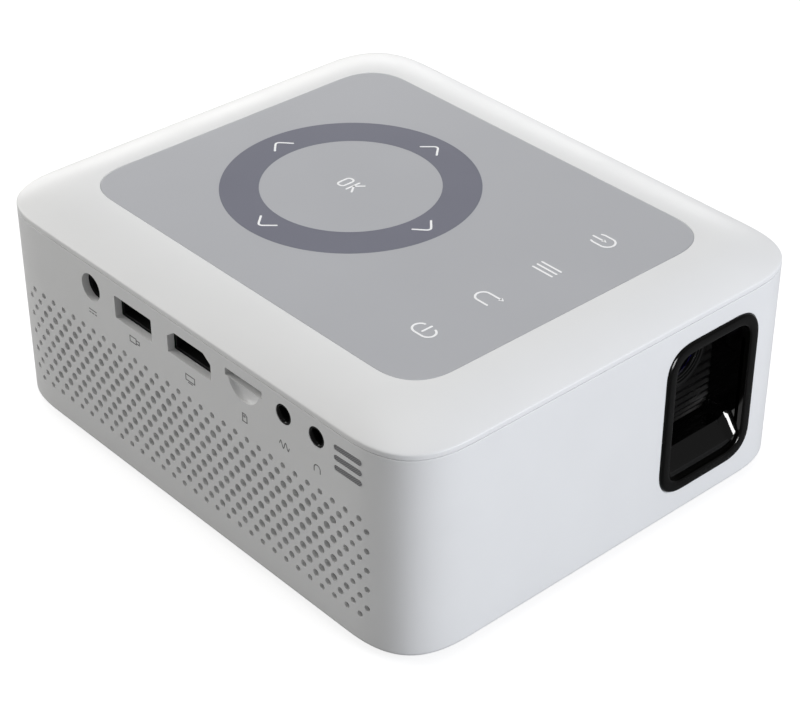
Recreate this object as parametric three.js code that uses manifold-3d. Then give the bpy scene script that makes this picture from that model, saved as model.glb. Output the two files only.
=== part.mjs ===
// A compact home projector: soft-cornered case with a domed top cover, a touch panel let into it,
// a row of sockets on its left side, and a lens set back in a dark hood at its front.
// Millimetres. X runs along the front, Y from front to back, Z up. The origin is at the middle of
// the footprint, on the plane that the feet stand on. The lens looks along -Y.
import * as THREE from "three";
import { mergeVertices } from "three/addons/utils/BufferGeometryUtils.js";
import Module from "manifold-3d";

const wasm = await Module();
wasm.setup();

// ---- Driving dimensions ----------------------------------------------------------------------

// Fits
const GAP = 0.3; // between any two pieces that touch
const CORNER_STEPS = 7; // flats in each soft corner
const SHEET = 0.5; // thinnest step between two faces of one piece

// Case
const CASE_WIDTH = 131.5;
const CASE_DEPTH = 157.2;
const BODY_HEIGHT = 55.5; // underside to the seam
const FOOT_STANDOFF = 1.5; // underside above the table
const CASE_CORNER = 22;
const CASE_CORNER_POWER = 2.92; // 2 is a circle, higher is squarer
const WALL = 2;
const UNDERSIDE_ROUND = 1.2;

// Top cover
const LIP_HEIGHT = 1.3; // upright edge above the seam
const CROWN_MARGIN = 16.7; // plan distance from the case side to the panel
const CROWN_RISE = 4.6; // from the lip to the panel
const CROWN_STEPS = 6;
const COVER_RIM = 6; // solid width of the cover at the seam
const COVER_FLOOR = 1.2; // under the panel
const TONGUE_WIDTH = 1.2; // rib that locates the cover inside the body
const TONGUE_DEPTH = 1.4;

// Touch panel
const PANEL_CORNER = 13.4;
const PANEL_CORNER_POWER = 2.5;
const PANEL_THICKNESS = 1.5;
const TOUCH_BOARD_THICKNESS = 1.2;
const TOUCH_BOARD_MARGIN = 9; // inside the panel's edge
const RIBBON_WIDTH = 12;
const RIBBON_THICKNESS = 0.4;
const RIBBON_FOLD = 10;

// Base, feet, screws
const BASE_THICKNESS = 3;
const FOOT_RADIUS = 6;
const FOOT_SINK = 1.2; // depth of a foot's pocket
const FOOT_INSET = 17; // foot centre from the case side
const BOSS_RADIUS = 5;
const BOSS_TOP = 22;
const BOSS_PAST_FAN = 8.6; // boss centre behind the fan
const BOSS_PAST_SPEAKER = 5.6; // boss centre in front of the speaker
const SCREW_RADIUS = 1.5;
const SCREW_LENGTH = 12;
const SCREW_HEAD_RADIUS = 3;
const SCREW_HEAD_HEIGHT = 1.4;
const INSERT_RADIUS = 6;
const INSERT_BORE = 2.7; // core of a quarter-inch camera thread
const INSERT_HEIGHT = 7;
const INSERT_COLLAR = 2.5;

// Lens opening
const LENS_FROM_SIDE = 33.25; // lens axis from the case's right side
const BEZEL_WIDTH = 32.5;
const BEZEL_HEIGHT = 43.4;
const BEZEL_BELOW_SEAM = 4.9; // seam to the bezel's upper edge
const BEZEL_CORNER = 9;
const BEZEL_FRAME = 3;
const BEZEL_PROUD = 0.8;
const BEZEL_CORNER_POWER = 2.6;
const HOOD_WALL = 1.5;
const HOOD_DEPTH = 10.9; // front of the case to the face that the lens comes through
const HOOD_RAMP_RISE = 6.5;
const HOOD_RAMP_RUN = 4.6;

// Lens and focus drive
const LENS_AXIS_BELOW_SEAM = 18;
const BARREL_RADIUS = 9.5;
const BARREL_WALL = 1.2;
const BARREL_LENGTH = 22;
const BARREL_PROUD = 1; // in front of the hood's inner face
const BARREL_STOP_WIDTH = 1.4; // shoulder between the two lenses
const FRONT_LENS_THICKNESS = 3.4;
const REAR_LENS_THICKNESS = 2.6;
const LENS_BULGE = 1.1;
const GEAR_MODULE = 0.8;
const RING_TEETH = 34;
const WHEEL_TEETH = 26;
const GEAR_WIDTH = 4.4;
const GEAR_BACKLASH = 0.3;
const GEAR_BEHIND_HOOD = 1.8;
const AXLE_RADIUS = 1.5;
const BRACKET_ARM = 1.4;
const BRACKET_WIDTH = 8;
const BRACKET_EAR = 4; // above the wheel's axis

// Light engine
const ENGINE_WIDTH = 42;
const ENGINE_DEPTH = 40;
const ENGINE_HEADROOM = 1; // guide tube to the engine's rim
const ENGINE_WALL = 2.5;
const ENGINE_OFFSET = -3.5; // engine centre from the lens axis, along X
const ENGINE_DROP = 17; // floor below the lens axis
const MOUNT_TUBE_WALL = 2.2;
const MOUNT_TUBE_LENGTH = 9;
const ENGINE_LEG_RADIUS = 3;
const IMAGER_WIDTH = 12;
const IMAGER_HEIGHT = 9;
const CONDENSER_RADIUS = 7;
const SEAT_SETBACK = 2; // engine wall to the condenser's seat
const SEAT_THICKNESS = 5;
const SEAT_RIM = 3;
const EMITTER_RADIUS = 4;
const COVER_SHEET = 2;
const PRISM_SIZE = 16;
const PIPE_BELOW_AXIS = 5;
const PIPE_BELOW_SINK_TOP = 6.8;
const LED_BOARD = 20;
const LED_BOARD_THICKNESS = 3;
const PIPE_RADIUS = 2.5;
const PIPE_SIDES = 8;
const PAD_THICKNESS = 0.9; // thermal pad between the LED board and the pipe

// Cooling
const FAN_SIZE = 36;
const FAN_DEPTH = 10;
const FAN_Y = 22;
const BLADE_COUNT = 7;
const HUB_RADIUS = 7;
const BLADE_THICKNESS = 0.9;
const BLADE_ANGLE = 38; // degrees out of the plane of rotation
const BLADE_ROOT = 1.5; // how far a blade runs into the hub
const BLADE_TIP_ROOM = 1;
const ROTOR_SETBACK = 1; // frame face to the rotor
const FAN_CORNER = 4;
const FAN_RING_WALL = 1.5;
const FAN_ARM_WIDTH = 2;
const FAN_ARM_THICKNESS = 1.4;
const FAN_PIN_RADIUS = 1.2;
const AIR_ROOM = 2; // free space in front of and behind the fan, and in front of the speaker
const SINK_BASE = 3; // solid floor that the fins stand on
const PIPE_STEPS = 26;
const SINK_LENGTH = 30;
const SINK_FINS = 11;
const FIN_THICKNESS = 1;

// Speaker
const SPEAKER_RADIUS = 17;
const SPEAKER_Y = -26;
const SPEAKER_Z = 24;
const MAGNET_RADIUS = 9;
const SPEAKER_FLANGE = 2; // straight rim of the basket
const SPEAKER_CONE_DEPTH = 9; // face to the magnet
const SPEAKER_DEPTH = 15;
const BASKET_WALL = 1.5;
const CONE_SETBACK = 0.6; // face to the cone's rim
const CONE_RIM = 0.8;
const CONE_NECK = 2.8; // magnet's edge to the cone's neck
const CONE_LENGTH = 7;
const CONE_WALL = 1.4;

// Boards
const BOARD_THICKNESS = 1.6;
const BOARD_BELOW_SEAM = 10.8; // seam to the top of the main board
const MAIN_BOARD_WIDTH = 62;
const BOARD_END_ROOM = 16.6; // case end to the main board
const POWER_BOARD_WIDTH = 42;
const POWER_BOARD_LENGTH = 56;
const POWER_STANDOFF = 3;
const POWER_FROM_ENGINE = 12;
const CORE = { x: 8, y: 10, size: 18, height: 14 }; // transformer, from the board's corner
const CAN = { x: 36, y: 14, pitch: 14, radius: 5, height: 18 }; // capacitors

// Sockets, each with its place along Y and its depth below the seam
const DC = { y: 36.3, drop: 6.5, radius: 3.75 };
const USB = { y: 19, drop: 7.2, width: 14.75, height: 6.4 };
const VIDEO = { y: -3, drop: 6.4, width: 16.6, height: 6.5, chamferWidth: 2.75, chamferHeight: 2 };
const CARD = { y: -23.5, drop: 3.9, width: 13.4, height: 2, notchDrop: 3.5, notchRadius: 5.7 };
const AV = { y: -37.8, drop: 5, radius: 2.65 };
const HEADPHONE = { y: -49.2, drop: 5, radius: 2.65 };
const SLOTS = { y: -59.5, drop: 4.2, pitch: 2.78, width: 8.9, height: 1.6, depth: 1, count: 3 };
const SOCKET_SHELL = 0.6; // sheet around a USB or video socket
const SOCKET_LENGTH = 14;
const TONGUE_SETBACK = 6; // socket mouth to its contact tongue
const JACK_LENGTH = 13;
const JACK_BORE = 1.8;
const DC_RIM = 0.6; // hole in the wall to the bore behind it
const DC_PIN_RADIUS = 1;
const SOCKET_CHEEK = 1; // housing outside a round bore
const SOCKET_END = 1; // closed end of a socket
const CARD_CHEEK = 0.8;
const CARD_THICKNESS_ROOM = 1.2;
const USB_TONGUE = { side: 2, low: 0.3, high: 2 }; // side clearance and levels about the middle
const VIDEO_TONGUE = { side: 3, low: -0.5, high: 0.5 };

// ---- Levels worked out from them ---------------------------------------------------------------

const SEAM_Z = FOOT_STANDOFF + BODY_HEIGHT;
const MAIN_BOARD_LENGTH = CASE_DEPTH - 2 * BOARD_END_ROOM;
const PANEL_TOP = SEAM_Z + LIP_HEIGHT + CROWN_RISE;
const BASE_TOP = FOOT_STANDOFF + BASE_THICKNESS;
const FAN_FLOOR = BASE_TOP + GAP;
const LEFT = -CASE_WIDTH / 2;
const RIGHT = CASE_WIDTH / 2;
const LENS_X = RIGHT - LENS_FROM_SIDE;
const FRONT = -CASE_DEPTH / 2;
const BACK = CASE_DEPTH / 2;
const PORT_FACE = LEFT + WALL + GAP; // front face of the sockets
const LENS_Z = SEAM_Z - LENS_AXIS_BELOW_SEAM;
const BEZEL_Z = SEAM_Z - BEZEL_BELOW_SEAM - BEZEL_HEIGHT / 2;
const HOOD_FACE = FRONT + HOOD_DEPTH;
const HOOD_BACK = HOOD_FACE + HOOD_WALL;
const BARREL_FRONT = HOOD_FACE - BARREL_PROUD;
const BARREL_BACK = BARREL_FRONT + BARREL_LENGTH;
const RING_PITCH_RADIUS = (RING_TEETH * GEAR_MODULE) / 2;
const WHEEL_PITCH_RADIUS = (WHEEL_TEETH * GEAR_MODULE) / 2;
const TOOTH_TIP = 0.7 * GEAR_MODULE;
const TOOTH_ROOT = GEAR_MODULE;
const WHEEL_X = LENS_X + RING_PITCH_RADIUS + WHEEL_PITCH_RADIUS;
const GEAR_FRONT = HOOD_BACK + GEAR_BEHIND_HOOD;
const GEAR_BACK = GEAR_FRONT + GEAR_WIDTH;
const ENGINE_FRONT = GEAR_BACK + GAP + MOUNT_TUBE_LENGTH;
const ENGINE_BACK = ENGINE_FRONT + ENGINE_DEPTH;
const ENGINE_X = LENS_X + ENGINE_OFFSET;
const ENGINE_LEFT = ENGINE_X - ENGINE_WIDTH / 2;
const ENGINE_RIGHT = ENGINE_X + ENGINE_WIDTH / 2;
const ENGINE_Z = LENS_Z - ENGINE_DROP;
const ENGINE_TOP = LENS_Z + BARREL_RADIUS + GAP + MOUNT_TUBE_WALL + ENGINE_HEADROOM;
const LED_Y = (ENGINE_FRONT + ENGINE_BACK) / 2;
const MAIN_BOARD_TOP = SEAM_Z - BOARD_BELOW_SEAM;
const MAIN_BOARD_LEFT = PORT_FACE + 1;
const SOCKET_CEILING = SEAM_Z - TONGUE_DEPTH - GAP;

// ---- Outlines ----------------------------------------------------------------------------------

// A rectangle whose corners are quarter superellipses, counter-clockwise about its centre.
function softRect(width, height, corner, power, steps = CORNER_STEPS) {
  const points = [];
  for (let quarter = 0; quarter < 4; quarter += 1) {
    const halfAlong = (quarter % 2 ? height : width) / 2;
    const halfAcross = (quarter % 2 ? width : height) / 2;
    for (let step = 0; step <= steps; step += 1) {
      const t = (step / steps) * (Math.PI / 2);
      const along = halfAlong - corner + corner * Math.cos(t) ** (2 / power);
      const across = halfAcross - corner + corner * Math.sin(t) ** (2 / power);
      points.push(new THREE.Vector2(along, across).rotateAround(new THREE.Vector2(), (quarter * Math.PI) / 2));
    }
  }
  return points;
}

function rect(low, high) {
  return [
    new THREE.Vector2(low[0], low[1]),
    new THREE.Vector2(high[0], low[1]),
    new THREE.Vector2(high[0], high[1]),
    new THREE.Vector2(low[0], high[1]),
  ];
}

function circle(radius, centre = [0, 0], sides = 24) {
  return Array.from({ length: sides }, (_, i) => {
    const angle = (i / sides) * 2 * Math.PI;
    return new THREE.Vector2(centre[0] + radius * Math.cos(angle), centre[1] + radius * Math.sin(angle));
  });
}

function moved(outline, centre) {
  return outline.map((point) => new THREE.Vector2(point.x + centre[0], point.y + centre[1]));
}

// A slot with half-round ends, long along its first axis.
function stadium(length, height, centre, steps = 5) {
  const reach = (length - height) / 2;
  const points = [];
  for (const side of [1, -1]) {
    for (let step = 0; step <= steps; step += 1) {
      const angle = (side > 0 ? -Math.PI / 2 : Math.PI / 2) + (step / steps) * Math.PI;
      points.push(new THREE.Vector2(side * reach + (height / 2) * Math.cos(angle), (height / 2) * Math.sin(angle)));
    }
  }
  return moved(points, centre);
}

// Straight-flanked spur teeth; the first tooth is centred on the angle phase.
function gearOutline(teeth, centre, phase) {
  const pitchRadius = (teeth * GEAR_MODULE) / 2;
  const flank = Math.tan(THREE.MathUtils.degToRad(20));
  const halfPitchTooth = (Math.PI * GEAR_MODULE) / 4 - GEAR_BACKLASH / 2;
  const corners = [
    [-TOOTH_ROOT, -(halfPitchTooth + TOOTH_ROOT * flank)],
    [TOOTH_TIP, -(halfPitchTooth - TOOTH_TIP * flank)],
    [TOOTH_TIP, halfPitchTooth - TOOTH_TIP * flank],
    [-TOOTH_ROOT, halfPitchTooth + TOOTH_ROOT * flank],
  ];
  const points = [];
  for (let tooth = 0; tooth < teeth; tooth += 1) {
    const middle = phase + (tooth / teeth) * 2 * Math.PI;
    for (const [height, offset] of corners) {
      const radius = pitchRadius + height;
      const angle = middle + offset / radius;
      points.push(new THREE.Vector2(centre[0] + radius * Math.cos(angle), centre[1] + radius * Math.sin(angle)));
    }
  }
  return points;
}

// ---- Solids ------------------------------------------------------------------------------------

function solid(geometry) {
  const bare = geometry.index ? geometry.toNonIndexed() : geometry.clone();
  bare.deleteAttribute("normal");
  bare.deleteAttribute("uv");
  const merged = mergeVertices(bare, 1e-5);
  return new wasm.Manifold(
    new wasm.Mesh({
      numProp: 3,
      vertProperties: new Float32Array(merged.attributes.position.array),
      triVerts: new Uint32Array(merged.index.array),
    }),
  );
}

const cut = (body, ...tools) => tools.reduce((rest, tool) => rest.subtract(tool), body);
const join = (first, ...others) => others.reduce((sum, other) => sum.add(other), first);

// Local x, y and z of an extrusion go to the named world axes; each of these is a pure turn.
const TURN_Z = new THREE.Matrix4();
const TURN_X = new THREE.Matrix4().set(0, 0, 1, 0, 1, 0, 0, 0, 0, 1, 0, 0, 0, 0, 0, 1);
const TURN_Y = new THREE.Matrix4().set(0, 1, 0, 0, 0, 0, 1, 0, 1, 0, 0, 0, 0, 0, 0, 1);

function extrude(outline, from, to, turn) {
  const geometry = new THREE.ExtrudeGeometry(new THREE.Shape(outline), { depth: to - from, bevelEnabled: false });
  return solid(geometry.translate(0, 0, from).applyMatrix4(turn));
}

const alongZ = (outline, from, to) => extrude(outline, from, to, TURN_Z); // outline is (x, y)
const alongX = (outline, from, to) => extrude(outline, from, to, TURN_X); // outline is (y, z)
const alongY = (outline, from, to) => {
  const swapped = outline.map((point) => new THREE.Vector2(point.y, point.x));
  return extrude(swapped, from, to, TURN_Y); // outline is (x, z)
};

const block = (x, y, z) => alongZ(rect([x[0], y[0]], [x[1], y[1]]), z[0], z[1]);

// Skin over a stack of outlines with equal point counts, given from the lowest level up.
function loft(sections) {
  const position = [];
  const at = (section, index) => {
    const { outline, level } = section;
    const point = outline[index % outline.length];
    return [point.x, point.y, level];
  };
  const face = (...corners) => corners.forEach((corner) => position.push(...corner));
  for (let s = 0; s + 1 < sections.length; s += 1) {
    const [low, high] = [sections[s], sections[s + 1]];
    for (let i = 0; i < low.outline.length; i += 1) {
      face(at(low, i), at(low, i + 1), at(high, i + 1));
      face(at(low, i), at(high, i + 1), at(high, i));
    }
  }
  const [bottom, top] = [sections[0], sections.at(-1)];
  for (const [a, b, c] of THREE.ShapeUtils.triangulateShape(bottom.outline, [])) {
    face(at(bottom, c), at(bottom, b), at(bottom, a));
    face(at(top, a), at(top, b), at(top, c));
  }
  return solid(new THREE.BufferGeometry().setAttribute("position", new THREE.Float32BufferAttribute(position, 3)));
}

// A profile of [radius, height along Y], on the axis at both ends, turned about the line (x, z).
function turned(profile, centre, sides = 32) {
  const points = profile.map(([radius, height]) => new THREE.Vector2(radius, height));
  return solid(new THREE.LatheGeometry(points, sides).translate(centre[0], 0, centre[1]));
}

// ---- The case outline at a plan distance in from its side ---------------------------------------

function caseOutline(inset, corner = CASE_CORNER - inset, power = CASE_CORNER_POWER) {
  return softRect(CASE_WIDTH - 2 * inset, CASE_DEPTH - 2 * inset, corner, power);
}

function panelOutline(clearance) {
  const inset = CROWN_MARGIN - clearance;
  return caseOutline(inset, PANEL_CORNER + clearance, PANEL_CORNER_POWER);
}

// ---- Pieces ------------------------------------------------------------------------------------

function topCover() {
  const sections = [{ outline: caseOutline(0), level: SEAM_Z + GAP / 2 }];
  const sweep = 2 * Math.atan(CROWN_RISE / CROWN_MARGIN); // the arc ends level with the panel
  const radius = CROWN_MARGIN / Math.sin(sweep);
  for (let step = 0; step <= CROWN_STEPS; step += 1) {
    const slope = sweep * (1 - step / CROWN_STEPS);
    const inset = CROWN_MARGIN - radius * Math.sin(slope);
    const share = inset / CROWN_MARGIN;
    const corner = THREE.MathUtils.lerp(CASE_CORNER, PANEL_CORNER, share);
    const power = THREE.MathUtils.lerp(CASE_CORNER_POWER, PANEL_CORNER_POWER, share);
    sections.push({
      outline: caseOutline(inset, corner, power),
      level: PANEL_TOP - radius * (1 - Math.cos(slope)),
    });
  }
  const pocketFloor = PANEL_TOP - PANEL_THICKNESS - GAP;
  const underside = SEAM_Z - TONGUE_DEPTH;
  const tongue = cut(
    alongZ(caseOutline(WALL + GAP), underside, SEAM_Z + LIP_HEIGHT),
    alongZ(caseOutline(WALL + GAP + TONGUE_WIDTH), underside - 1, SEAM_Z + LIP_HEIGHT + 1),
  );
  return cut(
    join(loft(sections), tongue),
    alongZ(caseOutline(COVER_RIM), SEAM_Z - TONGUE_DEPTH, pocketFloor - COVER_FLOOR),
    alongZ(panelOutline(GAP), pocketFloor, PANEL_TOP + 1),
    alongZ(stadium(RIBBON_WIDTH + 2, 3, [0, 0]), SEAM_Z, PANEL_TOP),
  );
}

function touchPanel() {
  return alongZ(panelOutline(0), PANEL_TOP - PANEL_THICKNESS, PANEL_TOP);
}

const TOUCH_BOARD_TOP = PANEL_TOP - PANEL_THICKNESS - GAP - COVER_FLOOR - GAP;

function touchBoard() {
  const width = CASE_WIDTH - 2 * (CROWN_MARGIN + TOUCH_BOARD_MARGIN);
  const length = CASE_DEPTH - 2 * (CROWN_MARGIN + TOUCH_BOARD_MARGIN);
  return alongZ(softRect(width, length, 3, 2, 3), TOUCH_BOARD_TOP - TOUCH_BOARD_THICKNESS, TOUCH_BOARD_TOP);
}

// Flat cable folded once at the touch board and once at the main board.
function touchRibbon() {
  const top = TOUCH_BOARD_TOP - TOUCH_BOARD_THICKNESS - GAP;
  const bottom = MAIN_BOARD_TOP + GAP;
  const outline = [
    [0, top],
    [0, bottom + RIBBON_THICKNESS],
    [-RIBBON_FOLD, bottom + RIBBON_THICKNESS],
    [-RIBBON_FOLD, bottom],
    [RIBBON_THICKNESS, bottom],
    [RIBBON_THICKNESS, top - RIBBON_THICKNESS],
    [RIBBON_FOLD, top - RIBBON_THICKNESS],
    [RIBBON_FOLD, top],
  ].map(([x, z]) => new THREE.Vector2(x + MAIN_BOARD_LEFT + MAIN_BOARD_WIDTH - RIBBON_FOLD / 2, z));
  return alongY(outline, MAIN_BOARD_LENGTH / 4, MAIN_BOARD_LENGTH / 4 + RIBBON_WIDTH);
}

const SIDES = [
  [-1, -1],
  [1, -1],
  [-1, 1],
  [1, 1],
];
const BOSS_BACK = FAN_Y + FAN_SIZE / 2 + BOSS_PAST_FAN;
const BOSS_FRONT = SPEAKER_Y - SPEAKER_RADIUS - BOSS_PAST_SPEAKER;
const bossCentre = ([sx, sy]) => [sx * (RIGHT - WALL - BOSS_RADIUS + GAP), sy > 0 ? BOSS_BACK : BOSS_FRONT];
const footCentre = ([sx, sy]) => [sx * (RIGHT - FOOT_INSET), sy * (BACK - FOOT_INSET)];

function bezelOutline(clearance) {
  const grow = 2 * clearance;
  const outline = softRect(
    BEZEL_WIDTH + grow,
    BEZEL_HEIGHT + grow,
    BEZEL_CORNER + clearance,
    BEZEL_CORNER_POWER,
    CORNER_STEPS,
  );
  return moved(outline, [LENS_X, BEZEL_Z]);
}

function videoOutline(shrink) {
  const half = VIDEO.width / 2 - shrink;
  const low = SEAM_Z - VIDEO.drop - VIDEO.height / 2 + shrink;
  const high = SEAM_Z - VIDEO.drop + VIDEO.height / 2 - shrink;
  return [
    [-half, low],
    [half, low],
    [half, high - VIDEO.chamferHeight],
    [half - VIDEO.chamferWidth, high],
    [-half + VIDEO.chamferWidth, high],
    [-half, high - VIDEO.chamferHeight],
  ].map(([y, z]) => new THREE.Vector2(VIDEO.y + y, z));
}

function usbOutline(shrink) {
  const middle = SEAM_Z - USB.drop;
  return rect(
    [USB.y - USB.width / 2 + shrink, middle - USB.height / 2 + shrink],
    [USB.y + USB.width / 2 - shrink, middle + USB.height / 2 - shrink],
  );
}

// Everything that opens the left wall.
function portHoles() {
  const through = (outline) => alongX(outline, LEFT - 1, LEFT + WALL + 1);
  const cardZ = SEAM_Z - CARD.drop;
  const cardY = [CARD.y - CARD.width / 2, CARD.y + CARD.width / 2];
  const notchZ = SEAM_Z - CARD.notchDrop;
  const notch = circle(CARD.notchRadius, [CARD.y, notchZ]).filter((point) => point.y <= notchZ + 1e-6);
  const holes = [
    through(circle(DC.radius, [DC.y, SEAM_Z - DC.drop])),
    through(usbOutline(0)),
    through(videoOutline(0)),
    through(rect([cardY[0], cardZ - CARD.height / 2], [cardY[1], cardZ + CARD.height / 2])),
    alongX(notch, LEFT - 1, LEFT + WALL / 2),
    through(circle(AV.radius, [AV.y, SEAM_Z - AV.drop], 16)),
    through(circle(HEADPHONE.radius, [HEADPHONE.y, SEAM_Z - HEADPHONE.drop], 16)),
  ];
  for (let slot = 0; slot < SLOTS.count; slot += 1) {
    const z = SEAM_Z - SLOTS.drop - slot * SLOTS.pitch;
    holes.push(alongX(stadium(SLOTS.width, SLOTS.height, [SLOTS.y, z]), LEFT - 1, LEFT + SLOTS.depth));
  }
  return holes;
}

// Slot in the right wall that lets the focus wheel's rim out.
function wheelSlot() {
  const rim = WHEEL_PITCH_RADIUS + TOOTH_TIP;
  const toWall = RIGHT - WALL - WHEEL_X;
  const halfChord = Math.sqrt(Math.max(rim ** 2 - toWall ** 2, 1));
  const middle = (GEAR_FRONT + GEAR_BACK) / 2;
  const half = GEAR_WIDTH / 2 + 2 * GAP;
  return block(
    [RIGHT - 2 * WALL, RIGHT + 1],
    [middle - half, middle + half],
    [LENS_Z - halfChord - 2 * GAP, LENS_Z + halfChord + 2 * GAP],
  );
}

function bodyShell() {
  const foot = FOOT_STANDOFF;
  const top = SEAM_Z - GAP / 2;
  const outside = loft([
    { outline: caseOutline(UNDERSIDE_ROUND), level: foot },
    { outline: caseOutline(UNDERSIDE_ROUND * 0.29), level: foot + UNDERSIDE_ROUND * 0.29 },
    { outline: caseOutline(0), level: foot + UNDERSIDE_ROUND },
    { outline: caseOutline(0), level: top },
  ]);
  const shell = cut(
    outside,
    alongZ(caseOutline(WALL), foot - 1, top + 1),
    alongY(bezelOutline(GAP), FRONT - 1, FRONT + 2 * WALL),
    wheelSlot(),
    ...portHoles(),
  );
  const bosses = SIDES.map((side) => alongZ(circle(BOSS_RADIUS, bossCentre(side), 16), BASE_TOP + GAP, BOSS_TOP));
  const bores = SIDES.map((side) => {
    return alongZ(circle(SCREW_RADIUS + GAP, bossCentre(side), 12), 0, BASE_TOP + SCREW_LENGTH);
  });
  return cut(join(shell, ...bosses), ...bores);
}

function basePlate() {
  const plate = alongZ(caseOutline(WALL + GAP), FOOT_STANDOFF, BASE_TOP);
  const collarTop = FOOT_STANDOFF + INSERT_HEIGHT + GAP + 1;
  const collar = alongZ(circle(INSERT_RADIUS + GAP + INSERT_COLLAR), FOOT_STANDOFF, collarTop);
  const cuts = [alongZ(circle(INSERT_RADIUS + GAP), 0, collarTop - 1)];
  for (const side of SIDES) {
    const headTop = FOOT_STANDOFF + SCREW_HEAD_HEIGHT + GAP;
    cuts.push(
      alongZ(circle(SCREW_RADIUS + GAP, bossCentre(side), 12), 0, BASE_TOP + 1),
      alongZ(circle(SCREW_HEAD_RADIUS + GAP, bossCentre(side), 16), 0, headTop),
      alongZ(circle(FOOT_RADIUS + GAP, footCentre(side), 20), 0, FOOT_STANDOFF + FOOT_SINK),
    );
  }
  return cut(join(plate, collar), ...cuts);
}

function rubberFoot(side) {
  return alongZ(circle(FOOT_RADIUS, footCentre(side), 20), 0, FOOT_STANDOFF + FOOT_SINK - GAP);
}

// Pan head flush with the underside, with a cross recess.
function baseScrew(side) {
  const [x, y] = bossCentre(side);
  const headTop = FOOT_STANDOFF + SCREW_HEAD_HEIGHT;
  const head = alongZ(circle(SCREW_HEAD_RADIUS, [x, y], 16), FOOT_STANDOFF, headTop);
  const shank = alongZ(circle(SCREW_RADIUS, [x, y], 12), FOOT_STANDOFF, FOOT_STANDOFF + SCREW_LENGTH);
  const reach = SCREW_HEAD_RADIUS * 0.6;
  const recess = [
    block([x - reach, x + reach], [y - 0.4, y + 0.4], [0, FOOT_STANDOFF + 0.8]),
    block([x - 0.4, x + 0.4], [y - reach, y + reach], [0, FOOT_STANDOFF + 0.8]),
  ];
  return cut(join(head, shank), ...recess);
}

function tripodInsert() {
  return cut(
    alongZ(circle(INSERT_RADIUS), FOOT_STANDOFF, FOOT_STANDOFF + INSERT_HEIGHT),
    alongZ(circle(INSERT_BORE), 0, FOOT_STANDOFF + INSERT_HEIGHT + 1),
  );
}

// The opening inside the bezel frame, which the hood's tunnel carries on.
function openingOutline(clearance = 0) {
  return bezelOutline(clearance - BEZEL_FRAME);
}

function lensBezel() {
  return cut(
    alongY(bezelOutline(0), FRONT - BEZEL_PROUD, FRONT + WALL),
    alongY(openingOutline(), FRONT - 2 * BEZEL_PROUD, FRONT + 2 * WALL),
  );
}

// Dark tunnel with a steep ramp below, a ribbed inner face, and a hole for the barrel.
function lensHood() {
  const front = FRONT + WALL + GAP;
  const floor = BEZEL_Z - BEZEL_HEIGHT / 2 + BEZEL_FRAME + HOOD_RAMP_RISE;
  const span = [LENS_X - BEZEL_WIDTH, LENS_X + BEZEL_WIDTH];
  const ramp = [
    new THREE.Vector2(front, floor - HOOD_RAMP_RISE - 1),
    new THREE.Vector2(FRONT + HOOD_RAMP_RUN, floor),
    new THREE.Vector2(HOOD_FACE + 0.01, floor),
    new THREE.Vector2(HOOD_FACE + 0.01, SEAM_Z),
    new THREE.Vector2(front - 1, SEAM_Z),
    new THREE.Vector2(front - 1, floor - HOOD_RAMP_RISE - 1),
  ];
  const tunnel = alongY(openingOutline(), front - 1, HOOD_FACE).intersect(alongX(ramp, span[0], span[1]));
  return cut(
    alongY(openingOutline(HOOD_WALL), front, HOOD_BACK),
    tunnel,
    alongY(circle(BARREL_RADIUS + GAP, [LENS_X, LENS_Z], 32), HOOD_FACE - 1, HOOD_BACK + 1),
  );
}

function lensBarrel() {
  const centre = [LENS_X, LENS_Z];
  const inner = BARREL_RADIUS - BARREL_WALL;
  const shoulder = BARREL_FRONT + 1 + FRONT_LENS_THICKNESS + GAP;
  return cut(
    alongY(circle(BARREL_RADIUS, centre, 32), BARREL_FRONT, BARREL_BACK),
    alongY(circle(inner, centre, 32), BARREL_FRONT - 1, shoulder),
    alongY(circle(inner - BARREL_WALL, centre, 32), shoulder - 1, shoulder + BARREL_STOP_WIDTH + 1),
    alongY(circle(inner, centre, 32), shoulder + BARREL_STOP_WIDTH, BARREL_BACK + 1),
  );
}

// Biconvex disc: a round edge between two shallow caps.
function lensGlass(front, thickness) {
  const radius = BARREL_RADIUS - BARREL_WALL - GAP;
  const rings = 4;
  const cap = (level, bulge) => {
    return Array.from({ length: rings + 1 }, (_, i) => [(radius * i) / rings, level + bulge * (1 - (i / rings) ** 2)]);
  };
  const profile = [
    ...cap(front + LENS_BULGE, -LENS_BULGE),
    ...cap(front + thickness - LENS_BULGE, LENS_BULGE).reverse(),
  ];
  return turned(profile, [LENS_X, LENS_Z]);
}

function frontLens() {
  return lensGlass(BARREL_FRONT + 1, FRONT_LENS_THICKNESS);
}

function rearLens() {
  return lensGlass(BARREL_BACK - 1 - REAR_LENS_THICKNESS, REAR_LENS_THICKNESS);
}

function focusRing() {
  const centre = [LENS_X, LENS_Z];
  return cut(
    alongY(gearOutline(RING_TEETH, centre, Math.PI / RING_TEETH), GEAR_FRONT, GEAR_BACK),
    alongY(circle(BARREL_RADIUS + GAP, centre, 32), GEAR_FRONT - 1, GEAR_BACK + 1),
  );
}

function focusWheel() {
  const centre = [WHEEL_X, LENS_Z];
  return cut(
    alongY(gearOutline(WHEEL_TEETH, centre, Math.PI), GEAR_FRONT, GEAR_BACK),
    alongY(circle(AXLE_RADIUS + GAP, centre, 16), GEAR_FRONT - 1, GEAR_BACK + 1),
  );
}

const BRACKET_FRONT = GEAR_FRONT - GAP - BRACKET_ARM;
const BRACKET_BACK = GEAR_BACK + GAP + BRACKET_ARM;

function focusAxle() {
  return alongY(circle(AXLE_RADIUS, [WHEEL_X, LENS_Z], 16), BRACKET_FRONT, BRACKET_BACK + 1);
}

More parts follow.
